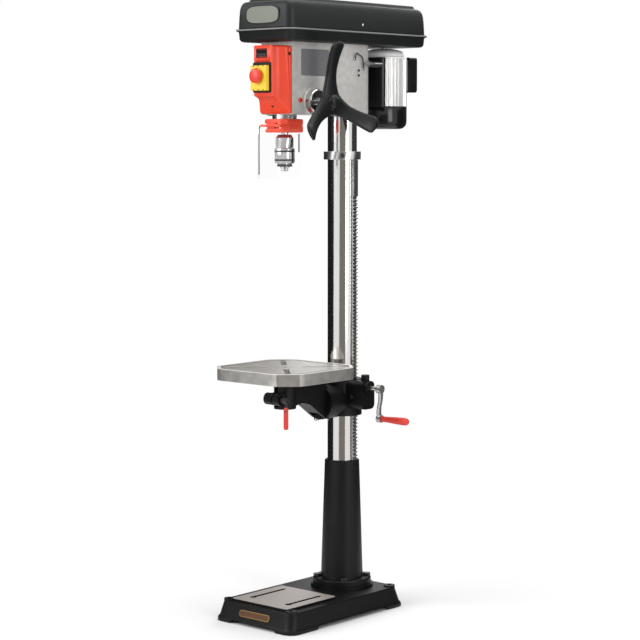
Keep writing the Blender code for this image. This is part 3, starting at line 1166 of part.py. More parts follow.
def belt_drive(machine, pivots):
    pulley("spindle_pulley", SPINDLE_Y, SPINDLE_STEPS, SPLINE_RADIUS + FIT, pivots["spindle_drive"],
           QUILL_TOP + 0.006)
    pulley("idler_pulley", IDLER_Y, IDLER_STEPS, IDLER_POST_RADIUS + FIT, pivots["idler_spin"])
    pulley("motor_pulley", MOTOR_Y, MOTOR_STEPS, MOTOR_SHAFT_RADIUS + FIT, pivots["motor_spin"])
    top = PULLEY_LOW + len(IDLER_STEPS) * PULLEY_STEP
    post = piece("idler_post", cylinder(IDLER_POST_RADIUS, "Z", (0, IDLER_Y), 1.421, top + 0.002, 16),
                 bright_steel(), machine)
    fuse(post, tube(IDLER_POST_RADIUS - 0.001, IDLER_POST_RADIUS + 0.005, "Z", (0, IDLER_Y),
                    PAN_LOW + GUARD_WALL + 0.001, PULLEY_LOW - GAP, 16))
    step = FRONT_BELT_STEP
    belt("belt_front", SPINDLE_Y, SPINDLE_STEPS[step], IDLER_Y, IDLER_STEPS[step], step, machine)
    step = REAR_BELT_STEP
    belt("belt_rear", IDLER_Y, IDLER_STEPS[step], MOTOR_Y, MOTOR_STEPS[step], step, machine)


# ================================================================== motor
def motor(carrier, spin):
    axis = (0, MOTOR_Y)
    fin = math.tau * MOTOR_RADIUS / MOTOR_FINS
    outline = gear(MOTOR_FINS, MOTOR_RADIUS - MOTOR_FIN_DEPTH, MOTOR_RADIUS, fin * 0.26, fin * 0.18, axis)
    body = piece("motor_body", prism(outline, "Z", MOTOR_LOW, MOTOR_HIGH), cast_aluminium(), carrier, False)
    plate_back = PLATE_FRONT + PLATE_THICKNESS
    fuse(body,
         box((-0.040, plate_back + GAP, MOTOR_LOW + 0.010), (0.040, MOTOR_Y - 0.040, MOTOR_HIGH - 0.010)),
         box((-TERMINAL_WIDTH / 2 + 0.003, MOTOR_Y + 0.040, TERMINAL_LOW + 0.003),
             (TERMINAL_WIDTH / 2 - 0.003, TERMINAL_FACE - GAP, MOTOR_HIGH - 0.002)))
    cut(body, cylinder(ROTOR_RADIUS + 0.0008, "Z", axis, MOTOR_LOW + 0.010, MOTOR_HIGH + 0.01, 20),
        cylinder(MOTOR_SHAFT_RADIUS + FIT, "Z", axis, MOTOR_LOW - 0.01, MOTOR_LOW + 0.02, 16))
    low = MOTOR_HIGH + GAP
    profile = [(MOTOR_SHAFT_RADIUS + FIT, low), (MOTOR_RADIUS - 0.001, low),
               (MOTOR_RADIUS - 0.002, low + 0.010),
               (MOTOR_RADIUS - 0.008, low + 0.018), (MOTOR_RADIUS - 0.024, MOTOR_CAP_TOP - 0.002),
               (MOTOR_RADIUS - 0.036, MOTOR_CAP_TOP), (MOTOR_SHAFT_RADIUS + FIT, MOTOR_CAP_TOP)]
    piece("motor_top_cap", turned(profile, "Z", axis, 24), cast_aluminium(), carrier)
    high = MOTOR_LOW - GAP
    inner = MOTOR_RADIUS - COWL_WALL
    profile = [(0, COWL_LOW), (MOTOR_RADIUS - 0.016, COWL_LOW), (MOTOR_RADIUS - 0.005, COWL_LOW + 0.005),
               (MOTOR_RADIUS, COWL_LOW + 0.016), (MOTOR_RADIUS, high), (inner, high),
               (inner, COWL_LOW + 0.016), (MOTOR_RADIUS - 0.017, COWL_LOW + COWL_WALL),
               (0, COWL_LOW + COWL_WALL)]
    cowl = piece("motor_fan_cowl", turned(profile, "Z", axis, 20), black_plastic(), carrier)
    for k in range(6):
        angle = math.tau * k / 6
        near, far = ((r * math.cos(angle), MOTOR_Y + r * math.sin(angle)) for r in (0.018, 0.036))
        cut(cowl, prism(capsule(near, far, 0.003, 3), "Z", COWL_LOW - 0.01, COWL_LOW + 0.006))
    shaft_low = COWL_LOW + 0.010
    shaft_top = PULLEY_LOW + len(MOTOR_STEPS) * PULLEY_STEP + 0.003
    drum_low, drum_high = MOTOR_LOW + 0.014, MOTOR_HIGH - 0.012
    profile = [(0, shaft_low), (MOTOR_SHAFT_RADIUS, shaft_low), (MOTOR_SHAFT_RADIUS, drum_low),
               (ROTOR_RADIUS, drum_low), (ROTOR_RADIUS, drum_high), (MOTOR_SHAFT_RADIUS, drum_high),
               (MOTOR_SHAFT_RADIUS, shaft_top), (0, shaft_top)]
    rotor = piece("motor_rotor", turned(profile, "Z", axis, 20), bright_steel(), spin)
    fuse(rotor, prism(gear(6, 0.014, MOTOR_RADIUS - 0.008, 0.0015, 0.0022, axis), "Z", shaft_low + 0.006,
                      MOTOR_LOW - 0.012))


def terminal_box(carrier):
    half = TERMINAL_WIDTH / 2
    outline = rounded((-half, TERMINAL_LOW), (half, TERMINAL_HIGH), 0.006, 3)
    cover = piece("terminal_box", prism(outline, "Y", TERMINAL_FACE, TERMINAL_BACK), black_plastic(), carrier)
    wall = 0.0025
    hollow = rounded((-half + wall, TERMINAL_LOW + wall), (half - wall, TERMINAL_HIGH - wall), 0.004, 3)
    cut(cover, prism(hollow, "Y", TERMINAL_FACE - 0.01, TERMINAL_BACK - wall))
    centre = (0, TERMINAL_FACE + CAPACITOR_RADIUS)
    piece("capacitor", cylinder(CAPACITOR_RADIUS, "Z", centre, TERMINAL_LOW + 0.008, MOTOR_HIGH - 0.008, 16),
          cast_aluminium(), carrier)


def motor_mount(carrier, knob_carrier):
    half = PLATE_WIDTH / 2
    back = PLATE_FRONT + PLATE_THICKNESS
    plate = piece("motor_plate", prism(rounded((-half, PLATE_FRONT), (half, back), 0.007, 4), "Z",
                                       MOTOR_LOW - 0.002, MOTOR_HIGH + 0.002), black_paint(), carrier)
    for side, name in ((-1, "left"), (1, "right")):
        centre = (side * SLIDE_BAR_X, SLIDE_BAR_HEIGHT)
        cut(plate, cylinder(SLIDE_BAR_RADIUS + FIT, "Y", centre, PLATE_FRONT - 0.01, back - 0.004, 16))
        piece(f"slide_bar_{name}", cylinder(SLIDE_BAR_RADIUS, "Y", centre, PLATE_FRONT - SLIDE_BAR_LENGTH,
                                            back - 0.0045, 16), bright_steel(), carrier)
    centre = (TENSION_KNOB_Y, SLIDE_BAR_HEIGHT)
    start = HEAD_WIDTH / 2 + GAP
    knob = piece("tension_knob", cylinder(0.008, "X", centre, start, start + 0.010, 16), bright_steel(),
                 knob_carrier)
    fuse(knob, cylinder(0.003, "X", centre, SLIDE_BAR_X + SLIDE_BAR_RADIUS + GAP, start + 0.002, 16),
         prism(rounded((TENSION_KNOB_Y - 0.012, SLIDE_BAR_HEIGHT - 0.0025),
                       (TENSION_KNOB_Y + 0.012, SLIDE_BAR_HEIGHT + 0.0025), 0.002, 2), "X", start + 0.006,
               start + TENSION_KNOB_REACH))


# ================================================================== assembly
def make_pivots(machine):
    """One empty on every joint's axis, each under the piece that carries it."""
    table_centre = (0, SPINDLE_Y)
    axis_x = {"feed": (0, -FEED_Y, FEED_HEIGHT), "clamp": (0, CLAMP_Y, TABLE_CLAMP_HEIGHT)}
    stop_y = -(SWITCH_FRONT + GAP + SWITCH_PLATE_THICKNESS)
    places = [
        ("rack_swing", (0, 0, SUPPORT_TOP), None),
        ("table_lift", (0, 0, PINION_HEIGHT), "rack_swing"),
        ("pinion_turn", (PINION_X, 0, PINION_HEIGHT), "table_lift"),
        ("crank_turn", (CRANK_ARM_X, WHEEL_Y, WORM_HEIGHT), "table_lift"),
        ("grip_spin", (CRANK_ARM_X, WHEEL_Y, GRIP_HEIGHT), "crank_turn"),
        ("column_lock", (BRACKET_CLAMP_X, 0, 0.557), "table_lift"),
        ("table_tilt", (0, -TILT_FACE, TILT_HEIGHT), "table_lift"),
        ("table_lock", axis_x["clamp"], "table_tilt"),
        ("table_turn", (*table_centre, TABLE_TOP), "table_tilt"),
        ("quill_feed", (*table_centre, QUILL_LOW), None),
        ("spindle_spin", (*table_centre, CHUCK_TOP), "quill_feed"),
        ("sleeve_turn", (*table_centre, CHUCK_SLEEVE_LOW), "spindle_spin"),
        ("jaw_1_slide", (*table_centre, JAW_TIP), "spindle_spin"),
        ("jaw_2_slide", (*table_centre, JAW_TIP), "spindle_spin"),
        ("jaw_3_slide", (*table_centre, JAW_TIP), "spindle_spin"),
        ("guard_swing", (0, SHIELD_PIN_Y, SHIELD_PIN_HEIGHT), "quill_feed"),
        ("feed_turn", axis_x["feed"], None),
        ("depth_ring_turn", axis_x["feed"], "feed_turn"),
        ("spindle_drive", (*table_centre, PULLEY_LOW), None),
        ("idler_spin", (0, IDLER_Y, PULLEY_LOW), None),
        ("motor_slide", (0, MOTOR_Y, SLIDE_BAR_HEIGHT), None),
        ("motor_spin", (0, MOTOR_Y, PULLEY_LOW), "motor_slide"),
        ("tension_turn", (HEAD_WIDTH / 2, TENSION_KNOB_Y, SLIDE_BAR_HEIGHT), None),
        ("lid_swing", (HINGE_X, 0, HINGE_HEIGHT), None),
        ("flap_swing", (0, stop_y - GAP, FLAP_HIGH), None),
        ("stop_press", (0, stop_y, STOP_HEIGHT), "flap_swing"),
        ("start_press", (START_X, stop_y, START_HEIGHT), None),
        ("rocker_tilt", (ROCKER_X, -SWITCH_FRONT + 0.005, ROCKER_HEIGHT), None),
    ]
    pivots = {}
    for name, place, carrier in places:
        pivots[name] = pivot(name, place, pivots[carrier] if carrier else machine)
    return pivots


def build():
    clear_scene()
    machine = bpy.data.objects.new("drill_press", None)
    bpy.context.collection.objects.link(machine)
    machine.location = (MACHINE_X, MACHINE_Y, 0)
    machine["place"] = [0, 0, 0]
    pivots = make_pivots(machine)
    base_casting(machine)
    column_support(machine)
    column(machine)
    rack(pivots["rack_swing"])
    table_bracket(pivots["table_lift"])
    tilt_bolt(pivots["table_lift"])
    lift_pinion(pivots["pinion_turn"])
    worm_shaft(pivots["crank_turn"])
    crank(pivots["crank_turn"], pivots["grip_spin"])
    column_lock_lever(pivots["column_lock"])
    table_arm(pivots["table_tilt"])
    table_lock_lever(pivots["table_lock"])
    table(pivots["table_turn"])
    head_casting(machine)
    switch_housing(machine)
    switch_controls(machine, pivots)
    quill(pivots["quill_feed"])
    spindle_and_chuck(pivots["spindle_spin"], pivots["sleeve_turn"],
                      [pivots[f"jaw_{k}_slide"] for k in (1, 2, 3)])
    feed(pivots["feed_turn"], pivots["depth_ring_turn"], machine)
    chuck_guard(pivots["quill_feed"], pivots["guard_swing"])
    guard_pan(machine)
    guard_lid(pivots["lid_swing"])
    belt_drive(machine, pivots)
    motor(pivots["motor_slide"], pivots["motor_spin"])
    terminal_box(pivots["motor_slide"])
    motor_mount(pivots["motor_slide"], pivots["tension_turn"])


build()
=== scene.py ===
import json
import math

import bmesh
import bpy
from mathutils import Matrix, Vector


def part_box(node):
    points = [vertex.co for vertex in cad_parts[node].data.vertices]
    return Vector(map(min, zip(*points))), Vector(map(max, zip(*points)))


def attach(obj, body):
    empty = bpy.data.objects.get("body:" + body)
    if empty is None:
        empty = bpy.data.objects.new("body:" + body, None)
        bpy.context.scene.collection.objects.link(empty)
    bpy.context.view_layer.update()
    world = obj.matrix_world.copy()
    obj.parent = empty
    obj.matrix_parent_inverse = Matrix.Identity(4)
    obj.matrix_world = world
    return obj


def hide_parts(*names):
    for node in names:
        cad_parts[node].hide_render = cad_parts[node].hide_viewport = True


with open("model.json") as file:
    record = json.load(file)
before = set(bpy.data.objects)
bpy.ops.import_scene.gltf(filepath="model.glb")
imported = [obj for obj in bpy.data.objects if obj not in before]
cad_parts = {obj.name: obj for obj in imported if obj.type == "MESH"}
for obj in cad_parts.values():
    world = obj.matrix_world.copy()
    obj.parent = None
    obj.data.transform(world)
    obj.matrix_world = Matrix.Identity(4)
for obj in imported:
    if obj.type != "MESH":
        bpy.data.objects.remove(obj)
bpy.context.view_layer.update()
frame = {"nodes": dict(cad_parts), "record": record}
nodes = frame["nodes"]

# ---------------------------------------------------------------- places taken from the frame
tube_low, tube_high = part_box("column_tube")
AXIS = Vector(((tube_low.x + tube_high.x) / 2, (tube_low.y + tube_high.y) / 2, 0))
GUARD_LOW, GUARD_HIGH = (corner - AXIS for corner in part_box("guard_pan"))
GUARD_LOW.x = -GUARD_HIGH.x
TABLE_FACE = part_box("table")[1].z - 0.0009

# ---------------------------------------------------------------- places in the machine frame
# In metres. The column's axis is X0, Y0, the front is toward -Y and the operator's right is +X.
SPINDLE = (0, -0.2225)           # (x, y)
MOTOR_Y = 0.168
MOTOR_RADIUS = 0.0615
FEED = (-0.180, 1.322)           # the feed shaft, (y, z)
STOP = (0, 1.384)                # the stop button, (x, z)
POINTER = (-0.2225, 1.3255)      # the depth pointer, (y, z)
HINGE = Vector((-0.0958, 0, 1.5036))
HEAD_SIDE = 0.052                # the head's right face near the front
HEAD_FLANK = 0.0655              # and farther back, where the head is wider
SHIELD_PIN = 1.262               # height of the shield's hinge
BASE_PAD = 0.0573                # the base is machined above this height
PAD_BACK = -0.088                # and in front of this place
SPOKE_ROOT = 0.004               # a feed spoke starts this far out from the shaft
SPOKE_LENGTH = 0.143
SPOKE_STAND = 0.1165             # its place along the shaft
SPOKE_SWEEP = 0.0405             # its tip stands this much farther along the shaft
FIRST_SPOKE = -5                 # degrees from upright
HUB_START = 0.101                # the inner end of the feed handle's hub
COLLAR_SCREW_TURN = -49          # degrees from the operator's right
SWITCH_DROP = 0.0085             # the switch housing's skin reaches this much lower than the CAD
SWITCH_SLOPE = 0.88              # share of its depth that it loses at its foot

# ---------------------------------------------------------------- studio
CAMERA_PLACE = (3.2638, -3.7943, 1.2238)
CAMERA_TURN = (90 - 5.261, 0, 41.345)
CAMERA_LENS = 109.3
CAMERA_SIDE = math.atan2(-0.758, 0.652)
SHADOW_NEAR, SHADOW_FAR = 0.3, 1.5      # the floor fades to white between these reaches
SOFT_ANGLE = 32                         # edges sharper than this many degrees are rounded

# name, place, aim, size, power
LIGHTS = [
    ("key", (-1.6, -3.0, 2.6), (0, 0, 0.9), (3.0, 2.8), 95),
    ("fill", (3.4, -0.8, 1.6), (0, 0, 0.8), (1.2, 2.4), 38),
    ("top", (0.4, 0.2, 3.6), (0, 0, 0.6), (2.4, 2.4), 45),
    ("back", (-1.0, 3.2, 2.2), (0, 0, 1.0), (1.6, 2.0), 40),
]

# name, first and last angle in degrees from the camera's side, shade, lower and upper edge
CARDS = [
    ("card_left", -172, -74, (0.012, 0.011, 0.011), 0.004, 1.75),
    ("card_front", -24, 27, (0.23, 0.208, 0.19), 0.004, 1.6),
    ("card_right", 80, 168, (0.05, 0.048, 0.046), 0.004, 1.7),
]
CARD_REACH = 1.3
CARD_STEPS = 16

# nodes whose look differs from that of their slot
OWN_PAINT = {
    "table_lock_lever": "dark_steel", "tilt_bolt": "dark_steel", "motor_plate": "gloss_black",
    "depth_ring": "chrome", "tension_knob": "crank_metal", "crank_arm": "crank_metal",
    "column_tube": "tube_steel", "rack": "rack_steel", "chuck_body": "chuck_steel",
    "base_casting": "base_paint", "table": "table_iron",
    **{f"support_bolt_{k}": "dark_steel" for k in range(1, 5)},
}


# ================================================================ camera, light and floor
def linked(name, data):
    """A new object in the scene that shows a mesh, a camera or a light."""
    item = bpy.data.objects.new(name, data)
    bpy.context.scene.collection.objects.link(item)
    return item


def build_camera():
    data = bpy.data.cameras.new("camera")
    data.lens = CAMERA_LENS
    data.sensor_width = 36
    camera = linked("camera", data)
    camera.location = CAMERA_PLACE
    camera.rotation_euler = [math.radians(turn) for turn in CAMERA_TURN]
    data.clip_end = 50
    bpy.context.scene.camera = camera


def area_light(name, place, aim, size, power):
    data = bpy.data.lights.new(name, "AREA")
    data.shape = "RECTANGLE"
    data.size, data.size_y = size
    data.energy = power
    lamp = linked(name, data)
    lamp.location = place
    lamp.rotation_euler = (Vector(aim) - Vector(place)).to_track_quat("-Z", "Y").to_euler()


def build_world():
    """Full white to the camera, in reflections and through clear pieces, and a softer light on surfaces."""
    world = bpy.data.worlds.new("studio")
    bpy.context.scene.world = world
    world.use_nodes = True
    tree = world.node_tree
    tree.nodes.clear()
    path = tree.nodes.new("ShaderNodeLightPath")
    seen, seen_too = (tree.nodes.new("ShaderNodeMath") for _ in range(2))
    seen.operation = seen_too.operation = "MAXIMUM"
    soft, white = (tree.nodes.new("ShaderNodeBackground") for _ in range(2))
    for background, strength in ((soft, 0.42), (white, 1)):
        background.inputs["Color"].default_value = (1, 1, 1, 1)
        background.inputs["Strength"].default_value = strength
    mix = tree.nodes.new("ShaderNodeMixShader")
    out = tree.nodes.new("ShaderNodeOutputWorld")
    link = tree.links.new
    link(path.outputs["Is Camera Ray"], seen.inputs[0])
    link(path.outputs["Is Glossy Ray"], seen.inputs[1])
    link(seen.outputs[0], seen_too.inputs[0])
    link(path.outputs["Is Transmission Ray"], seen_too.inputs[1])
    link(seen_too.outputs[0], mix.inputs[0])
    link(soft.outputs[0], mix.inputs[1])
    link(white.outputs[0], mix.inputs[2])
    link(mix.outputs[0], out.inputs["Surface"])


def build_floor():
    """A pale floor that keeps the shadow near the object and fades into the white far from it."""
    mesh = bpy.data.meshes.new("floor")
    shape = bmesh.new()
    bmesh.ops.create_grid(shape, x_segments=1, y_segments=1, size=14)
    shape.to_mesh(mesh)
    shape.free()
    floor = linked("floor", mesh)
    floor.location.z = -0.0005
    pale = bpy.data.materials.new("floor")
    pale.use_nodes = True
    tree = pale.node_tree
    shader = tree.nodes["Principled BSDF"]
    shader.inputs["Base Color"].default_value = (0.93, 0.93, 0.93, 1)
    shader.inputs["Roughness"].default_value = 0.8
    shader.inputs["Specular IOR Level"].default_value = 0.1
    glow = tree.nodes.new("ShaderNodeEmission")
    place = tree.nodes.new("ShaderNodeTexCoord")
    reach = tree.nodes.new("ShaderNodeVectorMath")
    reach.operation = "LENGTH"
    fade = tree.nodes.new("ShaderNodeMapRange")
    fade.interpolation_type = "SMOOTHERSTEP"
    fade.inputs["From Min"].default_value = SHADOW_NEAR
    fade.inputs["From Max"].default_value = SHADOW_FAR
    mix = tree.nodes.new("ShaderNodeMixShader")
    link = tree.links.new
    link(place.outputs["Object"], reach.inputs[0])
    link(reach.outputs["Value"], fade.inputs["Value"])
    link(fade.outputs["Result"], mix.inputs[0])
    link(shader.outputs[0], mix.inputs[1])
    link(glow.outputs[0], mix.inputs[2])
    link(mix.outputs[0], tree.nodes["Material Output"].inputs["Surface"])
    mesh.materials.append(pale)


def build_cards():
    """Curved panels that only reflections see, as dark boards in a studio. They band the chrome."""
    for name, start, end, shade, low, high in CARDS:
        mesh = bpy.data.meshes.new(name)
        shape = bmesh.new()
        rows = []
        for k in range(CARD_STEPS + 1):
            turn = CAMERA_SIDE + math.radians(start + (end - start) * k / CARD_STEPS)
            x, y = CARD_REACH * math.cos(turn), CARD_REACH * math.sin(turn)
            rows.append([shape.verts.new((x, y, low)), shape.verts.new((x, y, high))])
        for before, after in zip(rows, rows[1:]):
            shape.faces.new((before[0], after[0], after[1], before[1]))
        shape.to_mesh(mesh)
        shape.free()
        card = linked(name, mesh)
        dull = bpy.data.materials.new(name)
        dull.use_nodes = True
        tree = dull.node_tree
        tree.nodes.clear()
        glow = tree.nodes.new("ShaderNodeEmission")
        glow.inputs["Color"].default_value = (*shade, 1)
        out = tree.nodes.new("ShaderNodeOutputMaterial")
        tree.links.new(glow.outputs[0], out.inputs["Surface"])
        mesh.materials.append(dull)
        card.visible_camera = card.visible_diffuse = False
        card.visible_shadow = card.visible_transmission = False


def build_stage():
    """Camera, cards, world, floor and lights."""
    build_camera()
    build_cards()
    build_world()
    build_floor()
    for light in LIGHTS:
        area_light(*light)
    bpy.context.scene.view_settings.view_transform = "Standard"


# ================================================================ materials
def surface(name, colour, roughness, metallic=0.0, vary=0.06, cloud=14.0, grain=700.0, bump=0.04, spread=0.06,
            stretch=(1, 1, 1), coat=0.0, gloss=0.5):
    """A Principled material whose colour, roughness and surface all vary a little with place."""
    made = bpy.data.materials.new(name)
    made.use_nodes = True
    tree = made.node_tree
    link = tree.links.new
    shader = tree.nodes["Principled BSDF"]
    shader.inputs["Metallic"].default_value = metallic
    shader.inputs["Specular IOR Level"].default_value = gloss
    shader.inputs["Coat Weight"].default_value = coat
    shader.inputs["Coat Roughness"].default_value = 0.15
    place = tree.nodes.new("ShaderNodeTexCoord")
    scale = tree.nodes.new("ShaderNodeMapping")
    scale.inputs["Scale"].default_value = stretch
    link(place.outputs["Object"], scale.inputs["Vector"])
    clouds = tree.nodes.new("ShaderNodeTexNoise")
    clouds.inputs["Scale"].default_value = cloud
    clouds.inputs["Detail"].default_value = 5
    link(place.outputs["Object"], clouds.inputs["Vector"])
    tint = tree.nodes.new("ShaderNodeValToRGB")
    tint.color_ramp.elements[0].position = 0.3
    tint.color_ramp.elements[1].position = 0.7
    tint.color_ramp.elements[0].color = (*(c * (1 - vary) for c in colour), 1)
    tint.color_ramp.elements[1].color = (*(min(1.0, c * (1 + vary)) for c in colour), 1)
    link(clouds.outputs["Fac"], tint.inputs["Fac"])
    link(tint.outputs["Color"], shader.inputs["Base Color"])
    fine = tree.nodes.new("ShaderNodeTexNoise")
    fine.inputs["Scale"].default_value = grain
    fine.inputs["Detail"].default_value = 3
    link(scale.outputs["Vector"], fine.inputs["Vector"])
    rough = tree.nodes.new("ShaderNodeMapRange")
    rough.inputs["To Min"].default_value = max(0.02, roughness - spread)
    rough.inputs["To Max"].default_value = roughness + spread
    link(fine.outputs["Fac"], rough.inputs["Value"])
    link(rough.outputs["Result"], shader.inputs["Roughness"])
    relief = tree.nodes.new("ShaderNodeBump")
    relief.inputs["Strength"].default_value = bump
    relief.inputs["Distance"].default_value = 0.001
    link(fine.outputs["Fac"], relief.inputs["Height"])
    link(relief.outputs["Normal"], shader.inputs["Normal"])
    return made


def two_tone(made, height, colour, metallic, roughness, behind=9.0):
    """Another look above a height and in front of a place, as on a face machined after painting."""
    tree = made.node_tree
    link = tree.links.new
    shader = tree.nodes["Principled BSDF"]
    place = tree.nodes.new("ShaderNodeTexCoord")
    parts = tree.nodes.new("ShaderNodeSeparateXYZ")
    mask = tree.nodes.new("ShaderNodeMapRange")
    mask.inputs["From Min"].default_value = height
    mask.inputs["From Max"].default_value = height + 0.0003
    depth = tree.nodes.new("ShaderNodeMapRange")
    depth.inputs["From Min"].default_value = behind + 0.0005
    depth.inputs["From Max"].default_value = behind
    both = tree.nodes.new("ShaderNodeMath")
    both.operation = "MULTIPLY"
    link(place.outputs["Object"], parts.inputs[0])
    link(parts.outputs["Z"], mask.inputs["Value"])
    link(parts.outputs["Y"], depth.inputs["Value"])
    link(mask.outputs["Result"], both.inputs[0])
    link(depth.outputs["Result"], both.inputs[1])
    blend = tree.nodes.new("ShaderNodeMix")
    blend.data_type = "RGBA"
    link(both.outputs[0], blend.inputs[0])
    link(shader.inputs["Base Color"].links[0].from_socket, blend.inputs[6])
    blend.inputs[7].default_value = (*colour, 1)
    link(blend.outputs[2], shader.inputs["Base Color"])
    for socket, value in (("Metallic", metallic), ("Roughness", roughness)):
        level = tree.nodes.new("ShaderNodeMix")
        link(both.outputs[0], level.inputs[0])
        if shader.inputs[socket].links:
            link(shader.inputs[socket].links[0].from_socket, level.inputs[2])
        else:
            level.inputs[2].default_value = shader.inputs[socket].default_value
        level.inputs[3].default_value = value
        link(level.outputs[0], shader.inputs[socket])
    return made


def clear_plastic():
    """The shield's plastic, which bends light very little."""
    made = surface("clear_plastic", (0.99, 0.99, 0.99), 0.05, vary=0.01, grain=300, bump=0.01, spread=0.02)
    shader = made.node_tree.nodes["Principled BSDF"]
    shader.inputs["Transmission Weight"].default_value = 1.0
    shader.inputs["IOR"].default_value = 1.08
    return made


MATERIALS = {
    "black_casting": surface("black_casting", (0.0035, 0.0035, 0.004), 0.42, vary=0.25, grain=520, bump=0.22,
                             spread=0.07, gloss=0.22),
    "silver_casting": surface("silver_casting", (0.58, 0.57, 0.55), 0.40, 0.35, vary=0.10, cloud=70,
                              grain=420, bump=0.24),
    "black_sheet": surface("black_sheet", (0.010, 0.012, 0.0115), 0.42, vary=0.10, grain=1100, bump=0.12,
                           gloss=0.25),
    "orange_plastic": surface("orange_plastic", (0.82, 0.060, 0.020), 0.36, vary=0.05, grain=1300, bump=0.07),
    "red_plastic": surface("red_plastic", (0.74, 0.048, 0.028), 0.30, vary=0.05, grain=900, bump=0.04),
    "yellow_plastic": surface("yellow_plastic", (0.88, 0.60, 0.03), 0.38, vary=0.04, grain=900, bump=0.05),
    "green_plastic": surface("green_plastic", (0.03, 0.33, 0.08), 0.35, vary=0.05, grain=900, bump=0.04),
    "black_plastic": surface("black_plastic", (0.007, 0.007, 0.0075), 0.33, vary=0.15, grain=900, bump=0.06,
                             gloss=0.28),
    "bright_steel": surface("bright_steel", (0.62, 0.615, 0.61), 0.24, 1.0, vary=0.05, cloud=5, grain=900,
                            bump=0.03, spread=0.05, stretch=(0.05, 0.05, 1)),
    "ground_iron": surface("ground_iron", (0.50, 0.475, 0.465), 0.36, 0.9, vary=0.10, cloud=26, grain=700,
                           bump=0.05, spread=0.08, stretch=(1, 0.04, 1)),
    "cast_aluminium": surface("cast_aluminium", (0.74, 0.74, 0.735), 0.33, 0.9, vary=0.05, grain=500,
                              bump=0.10),
    "belt_rubber": surface("belt_rubber", (0.018, 0.018, 0.018), 0.70, vary=0.2, grain=700, bump=0.2),
    "clear_plastic": clear_plastic(),
    "plate_grey": surface("plate_grey", (0.20, 0.20, 0.21), 0.42, 0.3, vary=0.03, grain=900, bump=0.02),
    "dark_steel": surface("dark_steel", (0.06, 0.06, 0.065), 0.35, 0.8, vary=0.1, grain=900, bump=0.05),
    "black_satin": surface("black_satin", (0.007, 0.0075, 0.008), 0.32, vary=0.12, grain=1000, bump=0.08,
                           gloss=0.3),
    "white_silver": surface("white_silver", (0.95, 0.95, 0.95), 0.34, 0.05, vary=0.03, grain=600, bump=0.06),
    "gloss_black": surface("gloss_black", (0.006, 0.006, 0.0065), 0.16, vary=0.1, grain=500, bump=0.02,
                           spread=0.03, coat=0.15, gloss=0.35),
    "chrome": surface("chrome", (0.50, 0.50, 0.505), 0.14, 1.0, vary=0.03, grain=600, bump=0.01, spread=0.03),
    "tube_steel": surface("tube_steel", (0.72, 0.712, 0.70), 0.11, 1.0, vary=0.04, cloud=4, grain=900,
                          bump=0.02, spread=0.04, stretch=(1, 1, 0.04)),
    "rack_steel": surface("rack_steel", (0.52, 0.51, 0.50), 0.26, 1.0, vary=0.10, grain=900, bump=0.05),
    "crank_metal": surface("crank_metal", (0.55, 0.55, 0.54), 0.28, 0.9, vary=0.08, grain=500, bump=0.12),
    "chuck_steel": surface("chuck_steel", (0.42, 0.415, 0.41), 0.20, 1.0, vary=0.06, grain=900, bump=0.03),
    "base_paint": two_tone(
        surface("base_paint", (0.0035, 0.0035, 0.004), 0.42, vary=0.25, grain=520, bump=0.22, spread=0.07,
                gloss=0.22),
        BASE_PAD, (0.50, 0.455, 0.43), 0.45, 0.44, AXIS.y + PAD_BACK),
    "table_iron": two_tone(
        surface("table_iron", (0.49, 0.48, 0.455), 0.34, 0.8, vary=0.16, cloud=40, grain=600, bump=0.06,
                spread=0.08, stretch=(0.06, 0.06, 1)),
        TABLE_FACE, (0.74, 0.695, 0.655), 0.4, 0.46),
    "brown_plate": surface("brown_plate", (0.115, 0.050, 0.022), 0.36, 0.4, vary=0.18, cloud=90, grain=900,
                           bump=0.05),
    "edge_grey": surface("edge_grey", (0.20, 0.205, 0.20), 0.34, vary=0.10, grain=900, bump=0.04, gloss=0.4),
    "sage_metal": surface("sage_metal", (0.17, 0.185, 0.155), 0.45, 0.2, vary=0.05, grain=900, bump=0.03),
    "gold_plate": surface("gold_plate", (0.40, 0.26, 0.09), 0.36, 0.7, vary=0.06, grain=900, bump=0.03),
}


def soften(item, width=0.0006):
    """Round the hard edges of a piece, so that they catch the light."""
    join = item.modifiers.new("join", "WELD")
    join.merge_threshold = 0.00002
    edge = item.modifiers.new("edge", "BEVEL")
    edge.width = width
    edge.segments = 2
    edge.limit_method = "ANGLE"
    edge.angle_limit = math.radians(SOFT_ANGLE)
    edge.harden_normals = False
    item.modifiers.new("shade", "WEIGHTED_NORMAL").keep_sharp = False


def dress_frame():
    """Every CAD node that stays in sight gets its material and softened edges."""
    slots = {entry["node"]: entry["material_slot"] for entry in frame["record"]["subparts"]}
    for name, item in nodes.items():
        item.data.materials.clear()
        item.data.materials.append(MATERIALS[OWN_PAINT.get(name, slots[name])])
        item.data.shade_smooth()
        soften(item)


# ================================================================ mesh helpers, in the machine frame
def spot(axis, first, second, along):
    """A point from its place across and along an axis: X takes (y, z), Y (x, z) and Z (x, y)."""
    if axis == "X":
        return Vector((along, first, second))
    if axis == "Y":
        return Vector((first, along, second))
    return Vector((first, second, along))


def skin(rings, caps=True):
    """A mesh over rings of equal count, capped at both ends or left open."""
    shape = bmesh.new()
    rows = [[shape.verts.new(point) for point in ring] for ring in rings]
    count = len(rows[0])
    for low, high in zip(rows, rows[1:]):
        for k in range(count):
            after = (k + 1) % count
            shape.faces.new((low[k], low[after], high[after], high[k]))
    if caps:
        shape.faces.new(rows[0])
        shape.faces.new(rows[-1])
    bmesh.ops.recalc_face_normals(shape, faces=shape.faces)
    return shape


def prism(outline, axis, low, high):
    """An outline drawn out along an axis."""
    return skin([[spot(axis, a, b, along) for a, b in outline] for along in (low, high)])


